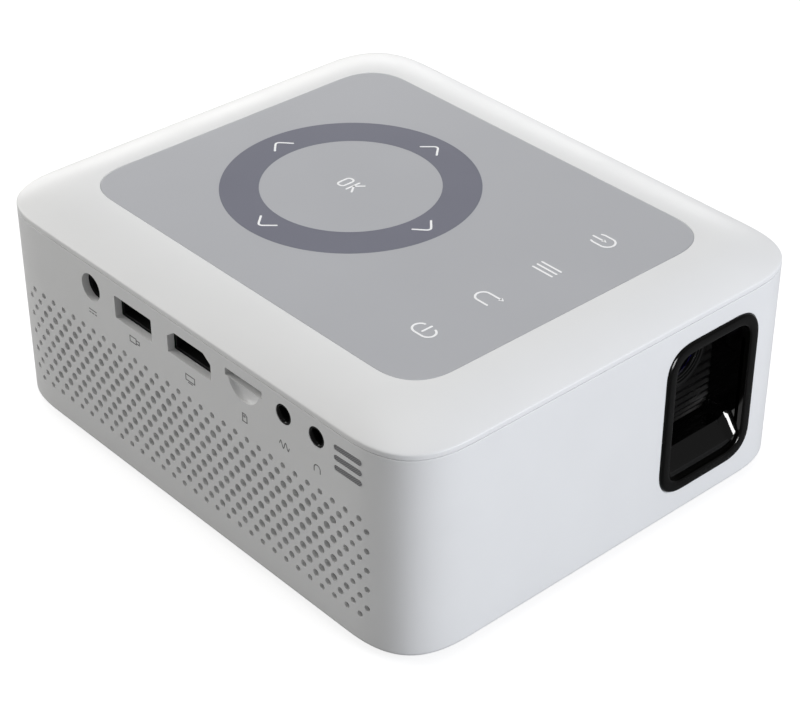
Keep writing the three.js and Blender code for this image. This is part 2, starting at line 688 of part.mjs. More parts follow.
// Post that stands on the base and holds the wheel's axle between two arms.
function focusBracket() {
  const x = [WHEEL_X - BRACKET_WIDTH / 2, WHEEL_X + BRACKET_WIDTH / 2];
  const wheelRim = WHEEL_PITCH_RADIUS + TOOTH_TIP;
  const seat = LENS_Z - wheelRim - 2 * GAP;
  const outline = [
    [BRACKET_FRONT, BASE_TOP + GAP],
    [BRACKET_BACK, BASE_TOP + GAP],
    [BRACKET_BACK, LENS_Z + BRACKET_EAR],
    [GEAR_BACK + GAP, LENS_Z + BRACKET_EAR],
    [GEAR_BACK + GAP, seat],
    [GEAR_FRONT - GAP, seat],
    [GEAR_FRONT - GAP, LENS_Z + BRACKET_EAR],
    [BRACKET_FRONT, LENS_Z + BRACKET_EAR],
  ].map(([y, z]) => new THREE.Vector2(y, z));
  const bore = alongY(circle(AXLE_RADIUS + GAP, [WHEEL_X, LENS_Z], 16), BRACKET_FRONT - 1, BRACKET_BACK + 1);
  const ring = RING_PITCH_RADIUS + TOOTH_TIP + GAP;
  const ringRoom = alongY(circle(ring, [LENS_X, LENS_Z], 32), BRACKET_FRONT - 1, BRACKET_BACK + 1);
  return cut(alongX(outline, x[0], x[1]), bore, ringRoom);
}

// Open-topped box with a tube at its front that guides the barrel, standing on four legs.
function lightEngine() {
  const w = ENGINE_WALL;
  const x = [ENGINE_LEFT, ENGINE_RIGHT];
  const y = [ENGINE_FRONT, ENGINE_BACK];
  const centre = [LENS_X, LENS_Z];
  const box = cut(
    block(x, y, [ENGINE_Z, ENGINE_TOP]),
    block([x[0] + w, x[1] - w], [y[0] + w, y[1] - w], [ENGINE_Z + w, ENGINE_TOP + 1]),
  );
  const tube = alongY(circle(BARREL_RADIUS + GAP + MOUNT_TUBE_WALL, centre, 32), GEAR_BACK + GAP, y[0] + w);
  const seatX = x[0] + w + SEAT_SETBACK;
  const seatHalf = CONDENSER_RADIUS + SEAT_RIM;
  const seatZ = [ENGINE_Z + w / 2, ENGINE_TOP - SEAT_RIM];
  const seat = block([seatX, seatX + SEAT_THICKNESS], [LED_Y - seatHalf, LED_Y + seatHalf], seatZ);
  const legs = [];
  for (const legX of [x[0] + ENGINE_LEG_RADIUS, x[1] - ENGINE_LEG_RADIUS]) {
    for (const legY of [y[0] + ENGINE_LEG_RADIUS, y[1] - ENGINE_LEG_RADIUS]) {
      legs.push(alongZ(circle(ENGINE_LEG_RADIUS, [legX, legY], 12), BASE_TOP + GAP, ENGINE_Z + 1));
    }
  }
  const window = rect(
    [LENS_X - IMAGER_WIDTH / 2, LENS_Z - IMAGER_HEIGHT / 2],
    [LENS_X + IMAGER_WIDTH / 2, LENS_Z + IMAGER_HEIGHT / 2],
  );
  return cut(
    join(box, tube, seat, ...legs),
    alongY(circle(BARREL_RADIUS + GAP, centre, 32), GEAR_BACK, y[0] + w + 1),
    alongY(window, y[1] - w - 1, y[1] + 1),
    alongX(circle(CONDENSER_RADIUS + GAP, [LED_Y, LENS_Z]), x[0] - 1, seatX + SEAT_THICKNESS + 1),
  );
}

function engineCover() {
  const z = [ENGINE_TOP + GAP, ENGINE_TOP + GAP + COVER_SHEET];
  return block([ENGINE_LEFT, ENGINE_RIGHT], [ENGINE_FRONT, ENGINE_BACK], z);
}

function condenserLens() {
  const seatX = ENGINE_LEFT + ENGINE_WALL + SEAT_SETBACK;
  return alongX(circle(CONDENSER_RADIUS, [LED_Y, LENS_Z]), seatX + SHEET, seatX + SEAT_THICKNESS - SHEET);
}

// Right-angle prism that folds the lamp's light towards the imager.
function prism() {
  const size = PRISM_SIZE;
  const outline = [
    [LENS_X - size / 2, LED_Y - size / 2],
    [LENS_X + size / 2, LED_Y - size / 2],
    [LENS_X + size / 2, LED_Y + size / 2],
  ].map(([x, y]) => new THREE.Vector2(x, y));
  return alongZ(outline, ENGINE_Z + ENGINE_WALL + GAP, LENS_Z + size / 2);
}

function imagerChip() {
  const half = [IMAGER_WIDTH / 2 - GAP, IMAGER_HEIGHT / 2 - GAP];
  const outline = rect([LENS_X - half[0], LENS_Z - half[1]], [LENS_X + half[0], LENS_Z + half[1]]);
  return alongY(outline, ENGINE_BACK - ENGINE_WALL, ENGINE_BACK + GAP);
}

function imagerBoard() {
  const low = [ENGINE_LEFT + SEAT_RIM, ENGINE_Z + SEAT_RIM];
  const outline = rect(low, [ENGINE_RIGHT - SEAT_RIM, ENGINE_TOP - SEAT_RIM]);
  return alongY(outline, ENGINE_BACK + 2 * GAP, ENGINE_BACK + 2 * GAP + BOARD_THICKNESS);
}

// Square board with a domed emitter that looks into the engine.
function ledModule() {
  const half = LED_BOARD / 2;
  const board = rect([LED_Y - half, LENS_Z - half], [LED_Y + half, LENS_Z + half]);
  return join(
    alongX(board, ENGINE_LEFT - GAP - LED_BOARD_THICKNESS, ENGINE_LEFT - GAP),
    alongX(circle(EMITTER_RADIUS, [LED_Y, LENS_Z], 16), ENGINE_LEFT - 1, ENGINE_LEFT + ENGINE_WALL),
  );
}

const SINK_LEFT = PORT_FACE + AIR_ROOM + FAN_DEPTH + AIR_ROOM;
const PIPE_Z = LENS_Z - PIPE_BELOW_AXIS;
const PIPE_END_Z = FAN_FLOOR + FAN_SIZE - PIPE_BELOW_SINK_TOP;

// Route of the heat pipe: along the back of the LED board, then across the fins.
function pipeCurve() {
  const pipeX = ENGINE_LEFT - GAP - LED_BOARD_THICKNESS - PAD_THICKNESS - PIPE_RADIUS;
  const sinkX = SINK_LEFT + SINK_LENGTH / 2;
  const sinkFront = FAN_Y - FAN_SIZE / 2;
  const bendY = (LED_Y + LED_BOARD / 2 + sinkFront) / 2;
  return new THREE.CatmullRomCurve3([
    new THREE.Vector3(pipeX, LED_Y - LED_BOARD / 2, PIPE_Z),
    new THREE.Vector3(pipeX, LED_Y, PIPE_Z),
    new THREE.Vector3(pipeX, LED_Y + LED_BOARD / 2, PIPE_Z),
    new THREE.Vector3((pipeX + sinkX) / 2, bendY, (PIPE_Z + PIPE_END_Z) / 2),
    new THREE.Vector3(sinkX, sinkFront - 2, PIPE_END_Z),
    new THREE.Vector3(sinkX, FAN_Y, PIPE_END_Z),
    new THREE.Vector3(sinkX, FAN_Y + FAN_SIZE / 2 + 1, PIPE_END_Z),
  ]);
}

function pipeSolid(radius) {
  const section = new THREE.Shape(circle(radius, [0, 0], PIPE_SIDES));
  return solid(new THREE.ExtrudeGeometry(section, { steps: PIPE_STEPS, bevelEnabled: false, extrudePath: pipeCurve() }));
}

function heatPipe() {
  return pipeSolid(PIPE_RADIUS);
}

function heatSink() {
  const x = [SINK_LEFT, SINK_LEFT + SINK_LENGTH];
  const y = [FAN_Y - FAN_SIZE / 2, FAN_Y + FAN_SIZE / 2];
  const z = [FAN_FLOOR, FAN_FLOOR + FAN_SIZE - 1];
  const pitch = (FAN_SIZE - FIN_THICKNESS) / (SINK_FINS - 1);
  const fins = Array.from({ length: SINK_FINS }, (_, i) => {
    return block(x, [y[0] + i * pitch, y[0] + i * pitch + FIN_THICKNESS], z);
  });
  return cut(join(block(x, y, [z[0], z[0] + SINK_BASE]), ...fins), pipeSolid(PIPE_RADIUS + GAP));
}

const FAN_X = PORT_FACE + AIR_ROOM;
const FAN_Z = FAN_FLOOR + FAN_SIZE / 2;

function fanFrame() {
  const half = FAN_SIZE / 2;
  const outline = moved(softRect(FAN_SIZE, FAN_SIZE, FAN_CORNER, 2, 3), [FAN_Y, FAN_Z]);
  const backFace = FAN_X + FAN_DEPTH;
  const ring = cut(
    alongX(outline, FAN_X, backFace),
    alongX(circle(half - FAN_RING_WALL, [FAN_Y, FAN_Z], 32), FAN_X - 1, backFace + 1),
  );
  const arm = [backFace - FAN_ARM_THICKNESS, backFace];
  const reach = half - FAN_RING_WALL / 2;
  const side = FAN_ARM_WIDTH / 2;
  const pinFront = FAN_X + ROTOR_SETBACK + FAN_PIN_RADIUS + SHEET;
  const arms = join(
    block(arm, [FAN_Y - reach, FAN_Y + reach], [FAN_Z - side, FAN_Z + side]),
    block(arm, [FAN_Y - side, FAN_Y + side], [FAN_Z - reach, FAN_Z + reach]),
    alongX(circle(HUB_RADIUS - SHEET, [FAN_Y, FAN_Z], 16), arm[0], arm[1]),
    alongX(circle(FAN_PIN_RADIUS, [FAN_Y, FAN_Z], 12), pinFront, backFace),
  );
  return join(ring, arms);
}

function fanRotor() {
  const from = FAN_X + ROTOR_SETBACK;
  const width = FAN_DEPTH - ROTOR_SETBACK - FAN_ARM_THICKNESS - AIR_ROOM + GAP;
  const middle = from + width / 2;
  const bladeReach = FAN_SIZE / 2 - FAN_RING_WALL - BLADE_TIP_ROOM;
  const blades = Array.from({ length: BLADE_COUNT }, (_, i) => {
    const length = bladeReach - HUB_RADIUS + BLADE_ROOT;
    const blade = new THREE.BoxGeometry(width, BLADE_THICKNESS, length);
    blade.rotateZ(THREE.MathUtils.degToRad(BLADE_ANGLE));
    blade.translate(0, 0, HUB_RADIUS - BLADE_ROOT + length / 2);
    blade.rotateX((i / BLADE_COUNT) * 2 * Math.PI);
    return solid(blade.translate(middle, FAN_Y, FAN_Z));
  });
  return cut(
    join(alongX(circle(HUB_RADIUS, [FAN_Y, FAN_Z], 20), from, from + width), ...blades),
    alongX(circle(FAN_PIN_RADIUS + GAP, [FAN_Y, FAN_Z], 12), from + FAN_PIN_RADIUS, from + width + 1),
  );
}

const SPEAKER_FACE = PORT_FACE + AIR_ROOM;

function speakerBasket() {
  const at = [SPEAKER_Y, SPEAKER_Z];
  const cup = loft([
    { outline: circle(SPEAKER_RADIUS, at), level: SPEAKER_FACE },
    { outline: circle(SPEAKER_RADIUS, at), level: SPEAKER_FACE + SPEAKER_FLANGE },
    { outline: circle(MAGNET_RADIUS, at), level: SPEAKER_FACE + SPEAKER_CONE_DEPTH },
    { outline: circle(MAGNET_RADIUS, at), level: SPEAKER_FACE + SPEAKER_DEPTH },
  ]);
  const bowl = loft([
    { outline: circle(SPEAKER_RADIUS - BASKET_WALL, at), level: SPEAKER_FACE - 1 },
    { outline: circle(SPEAKER_RADIUS - BASKET_WALL, at), level: SPEAKER_FACE + SPEAKER_FLANGE },
    { outline: circle(MAGNET_RADIUS - CONE_NECK + 3 * GAP, at), level: SPEAKER_FACE + CONE_LENGTH + 3 * GAP },
  ]);
  return cut(cup, bowl).rotate([90, 0, 90]);
}

function speakerCone() {
  const at = [SPEAKER_Y, SPEAKER_Z];
  const rim = SPEAKER_RADIUS - BASKET_WALL - GAP;
  const outside = loft([
    { outline: circle(rim, at), level: SPEAKER_FACE + CONE_SETBACK },
    { outline: circle(rim, at), level: SPEAKER_FACE + CONE_SETBACK + CONE_RIM },
    { outline: circle(MAGNET_RADIUS - CONE_NECK, at), level: SPEAKER_FACE + CONE_LENGTH },
  ]);
  const inside = loft([
    { outline: circle(rim - CONE_RIM, at), level: SPEAKER_FACE },
    { outline: circle(MAGNET_RADIUS - CONE_NECK - CONE_WALL, at), level: SPEAKER_FACE + CONE_LENGTH - CONE_WALL },
  ]);
  return cut(outside, inside).rotate([90, 0, 90]);
}

function mainBoard() {
  return block(
    [MAIN_BOARD_LEFT, MAIN_BOARD_LEFT + MAIN_BOARD_WIDTH],
    [-MAIN_BOARD_LENGTH / 2, MAIN_BOARD_LENGTH / 2],
    [MAIN_BOARD_TOP - BOARD_THICKNESS, MAIN_BOARD_TOP],
  );
}

// Board on low standoffs, with a transformer and two capacitors.
function powerBoard() {
  const left = INSERT_RADIUS + INSERT_COLLAR + 2;
  const front = ENGINE_BACK + POWER_FROM_ENGINE;
  const low = BASE_TOP + POWER_STANDOFF;
  const top = low + BOARD_THICKNESS;
  const board = block([left, left + POWER_BOARD_WIDTH], [front, front + POWER_BOARD_LENGTH], [low, top]);
  const coreX = [left + CORE.x, left + CORE.x + CORE.size];
  const coreY = [front + CORE.y, front + CORE.y + CORE.size];
  const core = block(coreX, coreY, [top - 1, top + CORE.height]);
  const cans = [0, 1].map((i) => {
    const middle = [left + CAN.x, front + CAN.y + i * CAN.pitch];
    return alongZ(circle(CAN.radius, middle, 16), top - 1, top + CAN.height);
  });
  return join(board, core, ...cans);
}

// Body of a socket whose front face is just behind the wall and whose foot is on the board.
function socketBlock(y, halfWidth, top, length) {
  const z = [MAIN_BOARD_TOP + GAP, Math.min(top, SOCKET_CEILING)];
  return block([PORT_FACE, PORT_FACE + length], [y - halfWidth, y + halfWidth], z);
}

function dcJack() {
  const z = SEAM_Z - DC.drop;
  const bore = alongX(circle(DC.radius - DC_RIM, [DC.y, z], 20), PORT_FACE - 1, PORT_FACE + JACK_LENGTH - 3 * SOCKET_END);
  const pin = alongX(circle(DC_PIN_RADIUS, [DC.y, z], 12), PORT_FACE + 1, PORT_FACE + JACK_LENGTH - SOCKET_END);
  const half = DC.radius + SOCKET_CHEEK;
  return join(cut(socketBlock(DC.y, half, z + half, JACK_LENGTH), bore), pin);
}

function shellSocket(y, outline, halfWidth, top, tongueHalf, tongueZ) {
  const cavity = alongX(outline, PORT_FACE - 1, PORT_FACE + SOCKET_LENGTH - SOCKET_END);
  const body = cut(socketBlock(y, halfWidth, top, SOCKET_LENGTH), cavity);
  const from = LEFT + WALL + TONGUE_SETBACK;
  const tongue = block([from, PORT_FACE + SOCKET_LENGTH], [y - tongueHalf, y + tongueHalf], tongueZ);
  return join(body, tongue);
}

function usbPort() {
  const z = SEAM_Z - USB.drop;
  const top = z + USB.height / 2;
  const half = USB.width / 2;
  const tongueZ = [z + USB_TONGUE.low, z + USB_TONGUE.high];
  return shellSocket(USB.y, usbOutline(SOCKET_SHELL), half, top, half - USB_TONGUE.side, tongueZ);
}

function videoPort() {
  const z = SEAM_Z - VIDEO.drop;
  const top = z + VIDEO.height / 2;
  const half = VIDEO.width / 2;
  const tongueZ = [z + VIDEO_TONGUE.low, z + VIDEO_TONGUE.high];
  return shellSocket(VIDEO.y, videoOutline(SOCKET_SHELL), half, top, half - VIDEO_TONGUE.side, tongueZ);
}

function cardSocket() {
  const z = SEAM_Z - CARD.drop;
  const half = CARD.width / 2;
  return cut(
    socketBlock(CARD.y, half + SOCKET_CHEEK, z + CARD.height, SOCKET_LENGTH + SOCKET_END),
    block(
      [PORT_FACE - 1, PORT_FACE + SOCKET_LENGTH - SOCKET_END],
      [CARD.y - half + CARD_CHEEK, CARD.y + half - CARD_CHEEK],
      [z - CARD_THICKNESS_ROOM / 2, z + CARD_THICKNESS_ROOM / 2],
    ),
  );
}

// Round jack whose nose fills its hole in the wall.
function roundJack(jack) {
  const z = SEAM_Z - jack.drop;
  const nose = alongX(circle(jack.radius - GAP, [jack.y, z], 16), LEFT + WALL / 4, PORT_FACE + 1);
  const bore = alongX(circle(JACK_BORE, [jack.y, z], 16), LEFT - 1, PORT_FACE + JACK_LENGTH - SOCKET_END);
  const half = jack.radius + SOCKET_CHEEK;
  return cut(join(socketBlock(jack.y, half, z + half, JACK_LENGTH), nose), bore);
}

// ---- Materials -----------------------------------------------------------------------------------

const finish = (color, roughness, metalness = 0) => {
  return new THREE.MeshStandardMaterial({ color, roughness, metalness, flatShading: true });
};
const LOOK = {
  white: () => finish(0xececec, 0.38),
  panel: () => finish(0xb4b4ba, 0.25),
  black: () => finish(0x1a1a1a, 0.15),
  darkPlastic: () => finish(0x262626, 0.5),
  rubber: () => finish(0x2b2b2b, 0.85),
  glass: () => finish(0x9fb4c8, 0.05),
  steel: () => finish(0xb8bcc0, 0.35, 0.9),
  aluminium: () => finish(0xc4c7cb, 0.4, 0.9),
  brass: () => finish(0xc9a45a, 0.35, 0.9),
  copper: () => finish(0xb87345, 0.35, 0.9),
  board: () => finish(0x1f6b45, 0.55),
  amber: () => finish(0xc98a3a, 0.5),
};

function piece(name, body, look) {
  const { vertProperties, triVerts } = body.getMesh();
  const geometry = new THREE.BufferGeometry();
  geometry.setAttribute("position", new THREE.BufferAttribute(new Float32Array(vertProperties), 3));
  geometry.setIndex(new THREE.BufferAttribute(new Uint32Array(triVerts), 1));
  geometry.computeVertexNormals();
  const mesh = new THREE.Mesh(geometry, look());
  mesh.name = name;
  return mesh;
}

// ---- Assembly ------------------------------------------------------------------------------------

const caseGroup = new THREE.Group();
caseGroup.add(
  piece("top_cover", topCover(), LOOK.white),
  piece("touch_panel", touchPanel(), LOOK.panel),
  piece("touch_board", touchBoard(), LOOK.board),
  piece("touch_ribbon", touchRibbon(), LOOK.amber),
  piece("body_shell", bodyShell(), LOOK.white),
  piece("base_plate", basePlate(), LOOK.darkPlastic),
  piece("tripod_insert", tripodInsert(), LOOK.brass),
);
SIDES.forEach((side, i) => {
  caseGroup.add(piece(`rubber_foot_${i + 1}`, rubberFoot(side), LOOK.rubber));
  caseGroup.add(piece(`base_screw_${i + 1}`, baseScrew(side), LOOK.steel));
});

const lensGroup = new THREE.Group();
lensGroup.add(
  piece("lens_bezel", lensBezel(), LOOK.black),
  piece("lens_hood", lensHood(), LOOK.black),
  piece("lens_barrel", lensBarrel(), LOOK.darkPlastic),
  piece("front_lens", frontLens(), LOOK.glass),
  piece("rear_lens", rearLens(), LOOK.glass),
  piece("focus_ring", focusRing(), LOOK.darkPlastic),
  piece("focus_wheel", focusWheel(), LOOK.rubber),
  piece("focus_axle", focusAxle(), LOOK.steel),
  piece("focus_bracket", focusBracket(), LOOK.darkPlastic),
);

const engineGroup = new THREE.Group();
engineGroup.add(
  piece("light_engine", lightEngine(), LOOK.darkPlastic),
  piece("engine_cover", engineCover(), LOOK.aluminium),
  piece("condenser_lens", condenserLens(), LOOK.glass),
  piece("prism", prism(), LOOK.glass),
  piece("imager_chip", imagerChip(), LOOK.steel),
  piece("imager_board", imagerBoard(), LOOK.board),
  piece("led_module", ledModule(), LOOK.board),
);

const coolingGroup = new THREE.Group();
coolingGroup.add(
  piece("heat_pipe", heatPipe(), LOOK.copper),
  piece("heat_sink", heatSink(), LOOK.aluminium),
  piece("fan_frame", fanFrame(), LOOK.darkPlastic),
  piece("fan_rotor", fanRotor(), LOOK.darkPlastic),
);

const electronicsGroup = new THREE.Group();
electronicsGroup.add(
  piece("speaker_basket", speakerBasket(), LOOK.steel),
  piece("speaker_cone", speakerCone(), LOOK.darkPlastic),
  piece("main_board", mainBoard(), LOOK.board),
  piece("power_board", powerBoard(), LOOK.board),
  piece("dc_jack", dcJack(), LOOK.darkPlastic),
  piece("usb_port", usbPort(), LOOK.steel),
  piece("video_port", videoPort(), LOOK.steel),
  piece("card_socket", cardSocket(), LOOK.steel),
  piece("av_jack", roundJack(AV), LOOK.darkPlastic),
  piece("headphone_jack", roundJack(HEADPHONE), LOOK.darkPlastic),
);

const projector = new THREE.Group();
projector.add(caseGroup, lensGroup, engineGroup, coolingGroup, electronicsGroup);

export default projector;
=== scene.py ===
# %% [markdown]
# A compact home projector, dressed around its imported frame. Every size below is read from the frame
# or worked out from it, so the looks sit on the solids without any fitting. Lengths inside the
# script are millimetres, and a piece's vertices are turned to metres when its mesh is made.

# %% Load the frame
import bpy
import numpy as np
from mathutils.geometry import delaunay_2d_cdt
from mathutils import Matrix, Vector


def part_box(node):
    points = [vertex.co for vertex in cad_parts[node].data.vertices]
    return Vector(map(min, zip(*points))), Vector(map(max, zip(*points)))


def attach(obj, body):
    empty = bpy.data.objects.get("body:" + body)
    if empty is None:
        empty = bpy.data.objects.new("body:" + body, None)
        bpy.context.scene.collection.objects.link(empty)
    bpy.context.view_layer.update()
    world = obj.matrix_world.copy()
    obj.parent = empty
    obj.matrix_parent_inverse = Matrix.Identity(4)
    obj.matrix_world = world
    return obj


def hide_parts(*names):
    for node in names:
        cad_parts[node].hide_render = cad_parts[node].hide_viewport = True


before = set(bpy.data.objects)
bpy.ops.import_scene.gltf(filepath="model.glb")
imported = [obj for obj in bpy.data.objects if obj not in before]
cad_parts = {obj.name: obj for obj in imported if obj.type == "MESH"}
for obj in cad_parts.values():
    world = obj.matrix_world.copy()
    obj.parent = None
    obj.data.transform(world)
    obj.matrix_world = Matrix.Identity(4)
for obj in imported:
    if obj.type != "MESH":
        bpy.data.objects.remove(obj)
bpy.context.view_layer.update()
MM = 0.001

# %% [markdown]
# The case gives the script its driving numbers. Its box is the plan size, the seam between body and
# cover is the top of the body shell, and the panel lies flush with the top of the cover.

# %% Driving sizes from the frame
def box_mm(node):
    """Lowest and highest corner of a node, in millimetres."""
    low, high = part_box(node)
    return np.array(low) / MM, np.array(high) / MM


BODY_LOW, BODY_HIGH = box_mm("body_shell")
PANEL_LOW, PANEL_HIGH = box_mm("touch_panel")
BEZEL_LOW, BEZEL_HIGH = box_mm("lens_bezel")
BARREL_LOW, BARREL_HIGH = box_mm("lens_barrel")
SEAM_GAP = 0.3
SEAM_Z = BODY_HIGH[2] + SEAM_GAP / 2
WIDTH, DEPTH = BODY_HIGH[0] - BODY_LOW[0], BODY_HIGH[1] - BODY_LOW[1]
LEFT, FRONT = BODY_LOW[0], BODY_LOW[1]
TOP_Z = PANEL_HIGH[2]
CORNER, CORNER_POWER = 22.0, 2.92
PANEL_CORNER, PANEL_POWER = 13.4, 2.5
WALL = 2.0
print("case %.1f x %.1f mm, seam at %.1f, top at %.1f" % (WIDTH, DEPTH, SEAM_Z, TOP_Z))

# %% [markdown]
# The camera stands off the near corner of the case, a little over 40 degrees round from the front
# and 34 degrees above it, with a long lens that keeps the edges almost parallel.

# %% Camera
CAMERA_OFFSET = np.array([-241.96, -268.4, 276.0])  # from the near corner at the seam
CAMERA_TILT, CAMERA_ROUND = 34.09, -41.83  # degrees down, and round from the front
camera_data = bpy.data.cameras.new("camera")
camera_data.sensor_width = 36.0
camera_data.lens = 97.63
camera = bpy.data.objects.new("camera", camera_data)
camera.location = (np.array([LEFT, FRONT, SEAM_Z]) + CAMERA_OFFSET) * MM
camera.rotation_euler = np.radians([90 - CAMERA_TILT, 0.0, CAMERA_ROUND])
bpy.context.scene.collection.objects.link(camera)
bpy.context.scene.camera = camera
print("camera at", [round(v, 3) for v in camera.location])

# %% [markdown]
# Most pieces here are skins: a loop of points carried through a row of positions. The helper below
# turns a block of loops into one closed mesh, either capped at both ends or joined into a ring.

# %% Mesh helpers
def skin(loops, ring=False):
    """Vertices and faces of a block of loops shaped (rows, points, 3). Each quad joins neighbours in
    a row and in a loop. With ring the last row joins the first, otherwise flat caps close the ends."""
    rows, count = loops.shape[:2]
    index = np.arange(rows * count).reshape(rows, count)
    low = index if ring else index[:-1]
    high = np.roll(index, -1, axis=0) if ring else index[1:]
    quads = np.stack([low, np.roll(low, -1, 1), np.roll(high, -1, 1), high], axis=-1).reshape(-1, 4)
    faces = quads.tolist()
    if not ring:
        faces += [index[0][::-1].tolist(), index[-1].tolist()]
    return loops.reshape(-1, 3), faces


def place(loop, level, axis=2):
    """Plane loop in space: level along the axis, the loop's two columns along the other two."""
    return np.insert(loop, axis, level, axis=1)


def prism(loop, levels, axis=2):
    """Closed prism on a plane loop, from the first level to the last along an axis."""
    return skin(np.array([place(loop, level, axis) for level in levels]))


def band(inner, outer, low, high):
    """Flat ring between two loops: they are its four edges, so its section is a rectangle."""
    rows = [(inner, low), (outer, low), (outer, high), (inner, high)]
    return skin(np.array([place(loop, level) for loop, level in rows]), ring=True)


def merge(parts):
    """One set of vertices and faces out of several closed parts."""
    vertices, faces, start = [], [], 0
    for points, polygons in parts:
        vertices.append(points)
        faces += [[v + start for v in polygon] for polygon in polygons]
        start += len(points)
    return np.concatenate(vertices), faces


def make_piece(name, shape, material, body="root", replaces=(), sharp=35.0):
    """A mesh object from millimetre vertices, smooth but for edges that turn more than sharp."""
    vertices, faces = shape
    mesh = bpy.data.meshes.new(name)
    mesh.from_pydata((np.asarray(vertices, float) * MM).tolist(), [], faces)
    mesh.validate()
    mesh.shade_smooth()
    mesh.set_sharp_from_angle(angle=np.radians(sharp))
    mesh.materials.append(material)
    piece = bpy.data.objects.new(name, mesh)
    bpy.context.scene.collection.objects.link(piece)
    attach(piece, body)
    if replaces:
        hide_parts(*replaces)
    print("%-18s %6d vertices %6d faces" % (name, len(mesh.vertices), len(mesh.polygons)))
    return piece


def soft_rect(width, height, corner, power, steps=24):
    """Counter-clockwise rectangle whose corners are quarter superellipses: in each corner the two
    offsets from its centre are corner times cos and sin of t, each to the power 2 / power."""
    t = np.linspace(0, np.pi / 2, steps + 1)
    along = corner * np.clip(np.cos(t), 0, 1) ** (2 / power) - corner
    across = corner * np.clip(np.sin(t), 0, 1) ** (2 / power) - corner
    quarters = []
    for quarter in range(4):
        half_u, half_v = (width / 2, height / 2) if quarter % 2 == 0 else (height / 2, width / 2)
        turn = np.linalg.matrix_power(np.array([[0, -1], [1, 0]]), quarter)
        quarters.append(np.stack([half_u + along, half_v + across], 1) @ turn.T)
    return np.concatenate(quarters)


def circle(radius, sides):
    """Points on a circle, counter-clockwise: radius times cos and sin of equal angles."""
    a = np.linspace(0, 2 * np.pi, sides, endpoint=False)
    return radius * np.stack([np.cos(a), np.sin(a)], 1)


POLE = 0.02  # radius of the tiny flat where a turned piece meets its axis


def turned(profile, centre, axis, sides=64, ring=False):
    """A profile of (distance along the axis, radius) carried round an axis line through centre."""
    profile = np.asarray(profile, float)
    unit = circle(1.0, sides)
    after = np.roll(profile, -1, 0) if ring else np.vstack([profile[1:], profile[-1:]])
    near, far = profile[:, 1], after[:, 1]
    bulk = ((near ** 2 + near * far + far ** 2) * (after[:, 0] - profile[:, 0])).sum()
    if bulk < 0:  # the sum is the solid's volume over pi / 3, so a negative one is inside out
        profile = profile[::-1]
    loops = np.zeros((len(profile), sides, 3))
    first, second = (axis + 1) % 3, (axis + 2) % 3
    loops[..., axis] = profile[:, :1]
    loops[..., first] = centre[0] + profile[:, 1:] * unit[:, 0]
    loops[..., second] = centre[1] + profile[:, 1:] * unit[:, 1]
    return skin(loops, ring)


# %% [markdown]
# Materials are procedural and read Object coordinates, which stay with the piece. Moulded plastic
# on the real case has a very fine even grain and a soft satin shine, so a fine noise drives a
# shallow bump and a broader one moves the roughness and the colour a little.

# %% Material helpers
def new_material(name, colour, roughness, metallic=0.0, **sockets):
    """A Principled material with constant sockets set on the shader itself."""
    material = bpy.data.materials.new(name)
    material.use_nodes = True
    shader = material.node_tree.nodes["Principled BSDF"]
    shader.inputs["Base Color"].default_value = (*colour, 1)
    shader.inputs["Roughness"].default_value = roughness
    shader.inputs["Metallic"].default_value = metallic
    for socket, value in sockets.items():
        shader.inputs[socket.replace("_", " ")].default_value = value
    return material


def object_noise(material, size_mm, detail=3.0, stretch=(1, 1, 1)):
    """Noise whose features are about size_mm across, stretched along chosen axes."""
    nodes, links = material.node_tree.nodes, material.node_tree.links
    where = nodes.new("ShaderNodeTexCoord")
    mapping = nodes.new("ShaderNodeMapping")
    mapping.inputs["Scale"].default_value = stretch
    noise = nodes.new("ShaderNodeTexNoise")
    noise.inputs["Scale"].default_value = 1 / (size_mm * MM)
    noise.inputs["Detail"].default_value = detail
    links.new(where.outputs["Object"], mapping.inputs["Vector"])
    links.new(mapping.outputs["Vector"], noise.inputs["Vector"])
    return noise


def add_grain(material, size_mm, height_mm, stretch=(1, 1, 1)):
    """Fine surface grain as bump, height_mm deep."""
    nodes, links = material.node_tree.nodes, material.node_tree.links
    noise = object_noise(material, size_mm, stretch=stretch)
    bump = nodes.new("ShaderNodeBump")
    bump.inputs["Strength"].default_value = 1.0
    bump.inputs["Distance"].default_value = height_mm * MM
    links.new(noise.outputs["Fac"], bump.inputs["Height"])
    links.new(bump.outputs["Normal"], nodes["Principled BSDF"].inputs["Normal"])


def add_variation(material, size_mm, colours, roughness, stretch=(1, 1, 1)):
    """Broad drift of colour between two tones and of roughness between two values."""
    nodes, links = material.node_tree.nodes, material.node_tree.links
    noise = object_noise(material, size_mm, detail=4.0, stretch=stretch)
    ramp = nodes.new("ShaderNodeValToRGB")
    for stop, place, tone in zip(ramp.color_ramp.elements, (0.35, 0.65), colours):
        stop.position = place
        stop.color = (*tone, 1)
    spread = nodes.new("ShaderNodeMapRange")
    spread.inputs["From Min"].default_value = 0.3
    spread.inputs["From Max"].default_value = 0.7
    spread.inputs["To Min"].default_value = roughness[0]
    spread.inputs["To Max"].default_value = roughness[1]
    shader = nodes["Principled BSDF"]
    links.new(noise.outputs["Fac"], ramp.inputs["Fac"])
    links.new(noise.outputs["Fac"], spread.inputs["Value"])
    links.new(ramp.outputs["Color"], shader.inputs["Base Color"])
    links.new(spread.outputs["Result"], shader.inputs["Roughness"])


